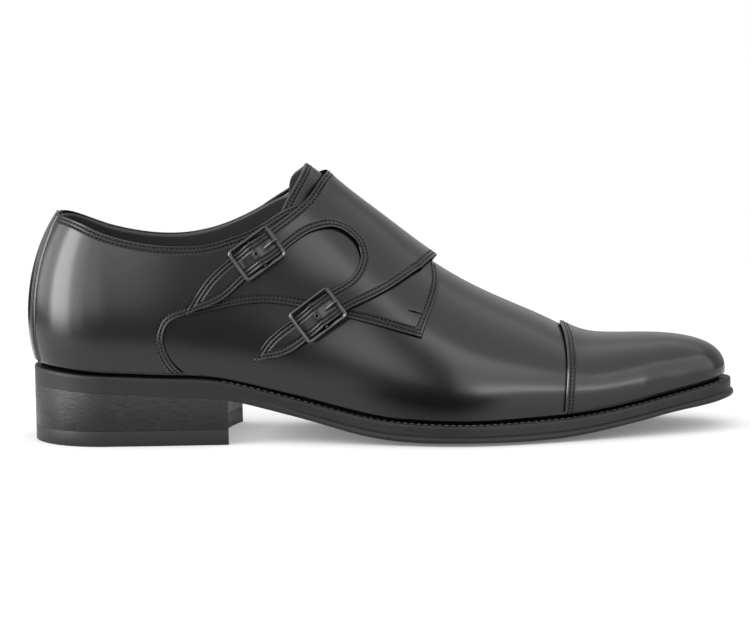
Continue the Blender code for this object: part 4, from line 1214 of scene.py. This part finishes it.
# inner quarter, cut in one with the flap and both straps: places lie on the outer side unless named inner
flap = {
    "top": 127.0, "front": 175.0,  # stations on the ridge
    "collarStops": (75, 100), "footStops": (105, 150), "innerStart": (100, 97.6),
    "rear": (124.4, 110.3), "frontLow": (169.0, 72.0), "fork": (143.1, 79.1),
    "innerTop": ((109, 103.6), (118, 109.4)), "innerFront": ((156, 28), (164, 47), (170.5, 63)),
    "upperTop": ((120.7, 105.1), (113.2, 98.7)),
    "upperBack": ((75.9, 70.2), (69.8, 61.0), (68.0, 58.0)), "upperTip": (67.4, 57.0),
    "upperUnder": ((85.0, 63.4), (77.5, 60.0), (68.8, 57.5)),
    "forkUp": ((141.0, 84.6), (134.6, 90.0)), "loop": ((127.5, 91.4), (119.5, 89.2)),
    "forkDown": (141.4, 74.0),
    "lowerBack": ((105.0, 47.9), (100.4, 42.6), (97.5, 38.2)), "lowerTip": (96.9, 37.0),
    "lowerUnder": ((114.0, 40.6), (106.0, 38.0), (98.4, 37.1)),
    "lowerFront": ((159.8, 67.7), (147.0, 61.6)),
    "step": (0.04, 0.3), "rows": (1.5, 3.1),
}


def flapLow(chart):
    # over the outer quarter on one side, straight on the upper on the other
    return strapLow + (sheet["lap"] - strapLow) * smoothStep(chart[:, 1], *flap["step"])


def pastBuckle(row, w):
    # two groups of points along a strap's edge: up to a buckle's near side, and past it
    reach = buckle["humpHalf"]
    return beside(row, (reach, w)), beside(row, (0, w), (-reach, w))


def makeQuarterInner():
    n = fine
    half, rows = 4 * n, 5 * n
    tipRows = [rows - rows // 2, rows // 2]
    rear, front, fork = on("outer", flap["rear"], flap["frontLow"], flap["fork"])
    middle = (rear + front) / 2
    pivot, wide = last["heelPivot"], strap["width"] / 2
    overRidge = np.concatenate([on("inner", *flap["innerTop"]), onRidge(flap["top"])])
    first, final = flap["collarStops"]
    top = chain(
        topEdge("inner", quarter["back"], pivot, 6 * n),
        topEdge("inner", pivot, first, 5 * n),
        topEdge("inner", first, final, 5 * n),
        through([on("inner", flap["innerStart"]), overRidge, rear[None]], [10 * n, 3 * n]),
    )
    overRidge = np.concatenate([on("inner", *flap["innerFront"]), onRidge(flap["front"])])
    first, final = flap["footStops"]
    bottom = chain(
        footEdge("inner", quarter["back"], pivot, 6 * n),
        footEdge("inner", pivot, first, 5 * n),
        footEdge("inner", first, final, 5 * n),
        through([footEdge("inner", final, final, 0), overRidge, front[None]], [10 * n, 3 * n]),
    )
    rearHalf, frontHalf = straight(middle, rear, half), straight(middle, front, half)
    across = chain(straight(rear, middle, half), frontHalf)
    body = patch(top, bottom, straight(top[0], bottom[0], 2 * half), across)
    up, down = buckleRows
    upperStart, upperBack = on("outer", *flap["upperTop"]), on("outer", *flap["upperBack"])
    upperTop = through(
        [rear[None], upperStart, *pastBuckle(up, wide), upperBack],
        [3 * n, 2 * n, 8 * n, 5 * n],
    )
    forkUp, loop = on("outer", *flap["forkUp"]), on("outer", *flap["loop"])
    upperBottom = through(
        [fork[None], forkUp, loop, *pastBuckle(up, -wide), on("outer", *flap["upperUnder"])],
        [half, 3 * n, 2 * n, 8 * n, 5 * n],
    )
    upperEnd = through([upperTop[-1:], on("outer", flap["upperTip"]), upperBottom[-1:]], tipRows)
    upperStrap = patch(chain(rearHalf, upperTop), upperBottom, straight(middle, fork, rows), upperEnd)
    forkDown, lowerBack = on("outer", flap["forkDown"]), on("outer", *flap["lowerBack"])
    lowerTop = through(
        [fork[None], forkDown, *pastBuckle(down, wide), lowerBack],
        [half, 5 * n, 8 * n, 5 * n],
    )
    before, past = pastBuckle(down, -wide)
    before = np.concatenate([on("outer", *flap["lowerFront"]), before])
    lowerUnder = on("outer", *flap["lowerUnder"])
    lowerBottom = through([front[None], before, past, lowerUnder], [5 * n, 8 * n, 5 * n])
    lowerEnd = through([lowerTop[-1:], on("outer", flap["lowerTip"]), lowerBottom[-1:]], tipRows)
    lowerStrap = patch(lowerTop, chain(frontHalf, lowerBottom), straight(fork, middle, rows), lowerEnd)
    # stitched are the top, the straps and the front edge, but not the back and the foot
    seams = [top[n:], upperTop, upperEnd, upperBottom, lowerTop, lowerEnd, lowerBottom, bottom[16 * n :]]
    piece = layPiece(
        "quarter_inner_leather", [body, upperStrap, lowerStrap], flapLow, strap["thick"], calfSewn, seams,
        rise=strapRise, edge=paintedShadeAndEdgeInk,
    )
    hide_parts("quarter_inner_straps")
    stitchRows("quarter_inner_stitches", piece, seams, flap["rows"], flapLow)


makeQuarterInner()
for row in buckleRows:
    makeStrapHoles(row)


# bar tack that holds the front corner of the outer quarter
barTack = {
    "ends": ((163.4, 57.7), (169.6, 55.9)), "stitches": 8, "stitch": (0.55, 1.5, 0.7),
    "slot": (7.2, 1.0, 0.16), "slotAside": -0.7,  # the slit beside the tack, a black bead that paints the shade in it
    "above": 6.0, "reach": 12.0,
}


def makeBarTack():
    surface = surfaceOf(quarterOuter)
    ends = on("outer", *barTack["ends"])
    line = straight(*ends, barTack["stitches"] - 1)
    places, below = (onLast(line, np.full(len(line), height)) for height in (barTack["above"], 0.0))
    run = Vector(below[-1] - below[0]).normalized()
    middle = (len(line) - 1) / 2
    bm = bmesh.new()
    for k, (place, foot) in enumerate(zip(places, below)):
        way = Vector(foot - place)
        hit, normal = surface.ray_cast(Vector(toWorld(place)), way, barTack["reach"] * mm)[:2]
        across = normal.cross(run).normalized()
        axes = (run, across, normal)
        addCopy(bm, stitchMesh, turnedTo(hit, axes, barTack["stitch"]))
        if abs(k - middle) < 1:
            # painted shade: a flat black bead in the slit
            addCopy(bm, holeMesh, turnedTo(hit + across * barTack["slotAside"] * mm, axes, barTack["slot"]))
    piece = newPiece("bar_tack", bm, [blackThread, paintedShadeAndEdgeInk])


makeBarTack()


# welt, outsole and insole: one profile carried round the whole edge
def bothWays(step):
    stops = [last["back"], last["heelPivot"], last["toePivot"], last["tip"]]
    runs = [np.linspace(a, b, round((b - a) / step) + 1)[:-1] for a, b in zip(stops[:-1], stops[1:])]
    return np.concatenate([*runs, [last["tip"]]])


def roundShoe(outer, inner):
    # a run down the outer side, round the toe and back along the inner side
    return np.concatenate([outer, inner[-2::-1]])


def carryProfile(name, profile, material, spacing=2.0):
    # profile rows are two functions: the reach from the edge, the rim and the step in, and the height at x
    along = bothWays(spacing)
    sides = []
    for side in bothSides:
        edge, rim, step = rib[side + "Sole"](along), rib["rim"](along), stepIn(along)
        columns = []
        for reach, height in profile:
            plan = planPoint(along, side, reach(edge, rim, step))
            columns.append(np.concatenate([plan, height(plan[:, 0])[:, None]], -1))
        sides.append(np.stack(columns, 1))
    bm = bmesh.new()
    addGrid(bm, toWorld(roundShoe(*sides)))
    closeMesh(bm, join=0.01, thin=0.005)
    return newPiece(name, bm, [material], sharpAngle=35)


welt = {
    "thick": 3.0, "step": 1.2, "stepStart": 85.0, "stepEnd": 140.0, "under": 13.0,
    "edge": (  # out from the step, and up from the welt's top
        (-1.2, 0.0), (-0.8, -0.02), (-0.45, -0.12), (-0.15, -0.35), (0.0, -0.7), (0.0, -1.6), (0.0, -3.0),
    ),
}


def stepIn(x):
    # how far the welt stands in from the outsole's edge: flush round the heel, a step ahead of it
    return welt["step"] * smoothStep(x, welt["stepStart"], welt["stepEnd"])


def makeWelt():
    def inside(edge, rim, step):
        return edge - rim - welt["under"]

    profile = [(inside, soleTop)]
    for out, up in welt["edge"]:
        profile.append((
            lambda edge, rim, step, out=out: edge - step + out,
            lambda x, up=up: soleTop(x) + up,
        ))
    profile += [(inside, lambda x: soleTop(x) - welt["thick"]), (inside, soleTop)]
    piece = carryProfile("welt_rim", profile, soleRubber)
    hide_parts("welt")


makeWelt()

weltSewing = {"inset": 2.1, "pitch": 3.0, "stitch": (2.2, 0.7, 0.55), "start": 78.0}


def sewWelt():
    # a row of thread along the welt's top, from the waist round the toe and back
    along = bothWays(step=1.0)
    along = along[along >= weltSewing["start"]]
    sides = []
    for side in bothSides:
        plan = planPoint(along, side, rib[side + "Sole"](along) - stepIn(along) - weltSewing["inset"])
        sides.append(np.concatenate([plan, soleTop(plan[:, 0])[:, None]], -1))
    line = roundShoe(*sides)
    travelled = runLength(line)
    at = np.arange(weltSewing["pitch"], travelled[-1] - weltSewing["pitch"], weltSewing["pitch"])
    places = toWorld(np.stack([np.interp(at, travelled, line[:, k]) for k in range(3)], -1))
    bm = bmesh.new()
    for k in range(1, len(places) - 1):
        forward = Vector(places[k + 1] - places[k - 1]).normalized()
        across = Vector((0, 0, 1)).cross(forward).normalized()
        axes = (forward, across, forward.cross(across))
        addCopy(bm, stitchMesh, turnedTo(places[k], axes, weltSewing["stitch"]))
    piece = newPiece("welt_stitches", bm, [weltThread])


sewWelt()

outsole = {
    "crown": 1.3, "crownStart": 100.0, "crownRun": 55.0, "flatShare": 0.62,
    "under": 0.03, "bottomLift": 0.2,
    "side": (  # share of the step in, further inset, and share of the way down the side
        (1.0, 0.0, 0.0), (1.0, 0.0, 0.12), (1.0, 0.0, 0.26), (1.0, 0.0, 0.34), (1.0, 0.12, 0.37),
        (0.9, 0.0, 0.41), (0.45, 0.0, 0.47), (0.12, 0.0, 0.55), (0.0, 0.0, 0.66), (0.0, 0.0, 0.80),
        (0.1, 0.05, 0.91), (0.25, 0.25, 0.97), (0.5, 0.5, 1.0),
    ),
}


def tread(x):
    crown = outsole["crown"] * np.clip((x - outsole["crownStart"]) / outsole["crownRun"], 0, 1)
    return np.maximum(soleBottom(x) - crown, 0.0)


def outsoleSide(x, down):
    high = soleTop(x) - welt["thick"] - outsole["under"]
    low = soleBottom(x) + outsole["bottomLift"] * stepIn(x) / welt["step"]
    return high + (low - high) * down


def makeOutsole():
    def centre(edge, rim, step):
        return edge * 0

    profile = [(centre, lambda x: outsoleSide(x, 0.0))]
    for stepShare, inset, down in outsole["side"]:
        profile.append((
            lambda edge, rim, step, stepShare=stepShare, inset=inset: (
                edge - step * stepShare - inset * step / welt["step"]
            ),
            lambda x, down=down: outsoleSide(x, down),
        ))
    profile += [(lambda edge, rim, step: edge * outsole["flatShare"], tread), (centre, tread)]
    piece = carryProfile("outsole_rubber", profile, soleRubber)
    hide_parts("outsole")


makeOutsole()

insole = {  # rows from the middle of the top to the middle of the bottom: share of the width, inset, height
    "thick": 2.5,
    "rows": ((0, 0, 2.5), (0.5, 0, 2.5), (1, 1.2, 2.5), (1, 0.5, 2.35), (1, 0, 1.6), (1, 0, 0), (0, 0, 0)),
}


def makeInsole():
    gap, wall = last["gap"], sheet["wall"]
    profile = []
    for share, inset, up in insole["rows"]:
        profile.append((
            lambda edge, rim, step, share=share, inset=inset: (edge - rim - wall - 2 * gap) * share - inset,
            lambda x, up=up: soleTop(x) + wall + 2 * gap + up,
        ))
    piece = carryProfile("insole_board", profile, liningLeather, spacing=3.0)
    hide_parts("insole")


makeInsole()
print("sole made")

# heel
heel = {
    "breast": 87.3, "breastStart": 45.0, "hollow": 5.5, "swing": 2.0, "flare": 0.02, "bevel": 0.08,
    "topPiece": 6.6, "topJoint": 0.04, "seatJoint": 0.05, "rings": (0.0, 0.3, 0.6, 0.8, 0.93, 1.0),
    "turnSteps": 30, "sideStart": 34.0, "sideSteps": 25,
}


def heelGrid(ways, shares, height):
    rows = []
    share = np.array(shares)
    for s, side in ways:
        plan = planPoint(np.full(len(share), s), side, (rib[side + "Sole"](s) + heel["flare"]) * share)
        lean = max(0.0, (s - heel["breastStart"]) / (heel["breast"] - heel["breastStart"])) ** 2
        x = plan[:, 0] + lean * (heel["swing"] * share * sideSign[side] - heel["hollow"] * (1 - share**2))
        rows.append(np.stack([x, plan[:, 1], height(x) + 0 * x], -1))
    return np.array(rows)


def makeLift(name, cadNode, low, high, material):
    along = np.concatenate([
        np.linspace(last["back"], last["heelPivot"], heel["turnSteps"] + 1),
        np.linspace(heel["sideStart"], heel["breast"], heel["sideSteps"] + 1),
    ])
    ways = [(s, "outer") for s in along[::-1]] + [(s, "inner") for s in along[1:]]
    shares = heel["rings"]
    bm = bmesh.new()
    rings = []
    for height in (low, high):
        addGrid(bm, toWorld(heelGrid(ways, shares, height)))
        rim = heelGrid(ways, [1.0], height)[:, 0]
        innerBreast = heelGrid([(heel["breast"], "inner")], shares[::-1], height)[0]
        outerBreast = heelGrid([(heel["breast"], "outer")], shares, height)[0]
        rings.append(chain(rim, innerBreast, outerBreast))
    addGrid(bm, toWorld(np.stack(rings, 1)))
    closeMesh(bm, join=0.01, thin=0.005)
    piece = newPiece(name, bm, [material])
    softenEdges(piece, heel["bevel"], segments=2, angle=50)
    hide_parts(cadNode)


makeLift("heel_top_piece", "top_piece", lambda x: 0.0, lambda x: heel["topPiece"], soleRubber)
makeLift(
    "heel_stack_lifts", "heel_stack", lambda x: heel["topPiece"] + heel["topJoint"],
    lambda x: np.minimum(tread(x), soleBottom(x)) - heel["seatJoint"], stackRubber,
)
print("heel made")


# camera
view = {
    "distance": 1600.0, "elevation": 7.5, "roll": 1.0, "aim": (149.4, 0.0, 52.3),
    "lens": 174.8, "sensor": 36.0, "far": 20.0,
}


def makeCamera():
    tilt, roll = math.radians(view["elevation"]), math.radians(view["roll"])
    right = Vector((1, 0, 0))
    up = Vector((0, math.sin(tilt), math.cos(tilt)))
    back = Vector((0, -math.cos(tilt), math.sin(tilt)))
    turnedRight = right * math.cos(roll) - up * math.sin(roll)
    turnedUp = up * math.cos(roll) + right * math.sin(roll)
    data = bpy.data.cameras.new("camera")
    data.lens = view["lens"]
    data.sensor_width = view["sensor"]
    data.clip_end = view["far"]
    camera = bpy.data.objects.new("camera", data)
    bpy.context.scene.collection.objects.link(camera)
    place = Vector(toWorld(view["aim"])) + back * view["distance"] * mm
    turned = Matrix((turnedRight, turnedUp, back)).transposed().to_4x4()
    camera.matrix_world = Matrix.Translation(place) @ turned
    bpy.context.scene.camera = camera


# floor: white paper, partly glowing so that shadows stay pale
floorLook = {
    "size": 6.0, "albedo": 0.26, "glow": 0.69,
    "mottle": (3.0, 2.0), "mottleRise": 1.03,
    "contact": 0.02, "shade": 0.2,  # reach of the shadow where the shoe touches, and what glows on in it
    "centre": (0.02, 0.05), "reach": (0.50, 0.29),  # the lit ellipse: the leather mirrors the dark past it
    "backdrop": (0.9, 2.6), "edge": (1.0, 1.3),
    "lobeCentre": (0.01, -0.44), "lobeReach": (0.12, 0.36), "lobeEdge": (1.12, 0.97),  # dark gap in front
}
black, white = (0.0, 0.0, 0.0), (1.0, 1.0, 1.0)


def ellipseDistance(tree, place, centre, reach):
    # distance from an ellipse's centre, which is 1 on its outline
    spread = tree.nodes.new("ShaderNodeMapping")
    spread.vector_type = "TEXTURE"
    spread.inputs["Location"].default_value = (*centre, 0)
    spread.inputs["Scale"].default_value = (*reach, 1)
    link(tree, place, spread.inputs["Vector"])
    far = tree.nodes.new("ShaderNodeVectorMath")
    far.operation = "LENGTH"
    link(tree, spread.outputs["Vector"], far.inputs[0])
    return far.outputs["Value"]


def paperMaterial():
    material, tree, shader = nodeMaterial("paperFloor")
    place = objectPlace(tree)
    albedo, glow = floorLook["albedo"], floorLook["glow"]
    mottle = noiseNode(tree, place, *floorLook["mottle"])
    paper = mixColour(tree, mottle, (albedo,) * 3, (albedo * floorLook["mottleRise"],) * 3)
    far = ellipseDistance(tree, place, floorLook["centre"], floorLook["reach"])
    within = ellipseDistance(tree, place, floorLook["lobeCentre"], floorLook["lobeReach"])
    backdrop = mapRange(tree, far, *floorLook["backdrop"])
    edge = mapRange(tree, far, *floorLook["edge"])
    edge = mathNode(tree, "MAXIMUM", edge, mapRange(tree, within, *floorLook["lobeEdge"]))
    seen = tree.nodes.new("ShaderNodeLightPath").outputs["Is Camera Ray"]
    lit = mathNode(tree, "MAXIMUM", seen, mathNode(tree, "SUBTRACT", 1.0, edge))
    # painted contact shadow: the floor's glow dims where the shoe comes near
    contact = tree.nodes.new("ShaderNodeAmbientOcclusion")
    contact.inputs["Distance"].default_value = floorLook["contact"]
    contact.samples = 8
    near = mixColour(tree, contact.outputs["AO"], (glow * floorLook["shade"],) * 3, (glow,) * 3)
    glowing, unlit = mixColour(tree, backdrop, near, white), mixColour(tree, backdrop, paper, black)
    link(tree, mixColour(tree, lit, black, unlit), shader.inputs["Base Color"])
    link(tree, mixColour(tree, lit, black, glowing), shader.inputs["Emission Color"])
    for label, value in (("Emission Strength", 1.0), ("Roughness", 0.7), ("Specular IOR Level", 0.0)):
        shader.inputs[label].default_value = value
    return material


def makeFloor():
    bm = bmesh.new()
    bmesh.ops.create_grid(bm, x_segments=2, y_segments=2, size=floorLook["size"])
    mesh = bpy.data.meshes.new("floor")
    bm.to_mesh(mesh)
    bm.free()
    mesh.materials.append(paperMaterial())
    floor = bpy.data.objects.new("floor", mesh)
    bpy.context.scene.collection.objects.link(floor)


softBoxes = (  # name, where it stands, what it faces, width and height in metres, brightness of its face
    ("left panel", (-0.70, -0.235, 0.317), (-0.135, -0.03, 0.317), (0.33, 0.63), 10.5),
    ("rear left panel", (-0.75, 0.10, 0.30), (-0.1, 0.08, 0.30), (0.5, 0.54), 2.8),
    ("left wing", (-0.56, -0.454, 0.32), (-0.135, -0.03, 0.32), (0.27, 0.60), 4.0),
    ("left front panel", (-0.33, -0.62, 0.308), (-0.31, 0.0, 0.308), (0.35, 0.51), 2.8),
    ("right front panel", (0.35, -0.62, 0.37), (0.35, 0.0, 0.37), (0.69, 0.74), 2.4),
    ("right wing", (0.88, -0.27, 0.37), (0.10, 0.0, 0.37), (0.80, 0.74), 2.0),
    ("low right strip", (0.44, -0.60, 0.052), (0.44, 0.0, 0.052), (0.62, 0.10), 5.0),
)


def makeSoftBox(name, place, aim, size, glow):
    data = bpy.data.lights.new(name, "AREA")
    data.shape = "RECTANGLE"
    data.size, data.size_y = size
    data.energy = glow * math.pi * size[0] * size[1]
    lamp = bpy.data.objects.new(name, data)
    bpy.context.scene.collection.objects.link(lamp)
    lamp.location = place
    lamp.rotation_euler = (Vector(aim) - Vector(place)).to_track_quat("-Z", "Y").to_euler()


# the room: a white backdrop to look at; what the leather mirrors is white above and behind, dark in front
room = {"ahead": 0.02, "behind": 0.6, "behindRise": (-0.1, 0.4), "top": 1.4, "topRise": (0.42, 0.75)}


def makeRoom():
    world = bpy.data.worlds.new("studio")
    bpy.context.scene.world = world
    world.use_nodes = True
    tree = world.node_tree
    background = tree.nodes["Background"]
    background.inputs["Color"].default_value = (1, 1, 1, 1)
    direction = tree.nodes.new("ShaderNodeSeparateXYZ")
    link(tree, tree.nodes.new("ShaderNodeTexCoord").outputs["Generated"], direction.inputs[0])
    glows = [
        mapRange(tree, direction.outputs[axis], *room[key + "Rise"], room["ahead"], room[key])
        for axis, key in (("Y", "behind"), ("Z", "top"))
    ]
    seen = tree.nodes.new("ShaderNodeLightPath").outputs["Is Camera Ray"]
    glow = mathNode(tree, "MAXIMUM", mathNode(tree, "MAXIMUM", *glows), seen)
    link(tree, glow, background.inputs["Strength"])


makeCamera()
makeFloor()
makeRoom()
for box in softBoxes:
    makeSoftBox(*box)
bpy.context.scene.view_settings.view_transform = "Standard"
print("camera, floor and lights made")
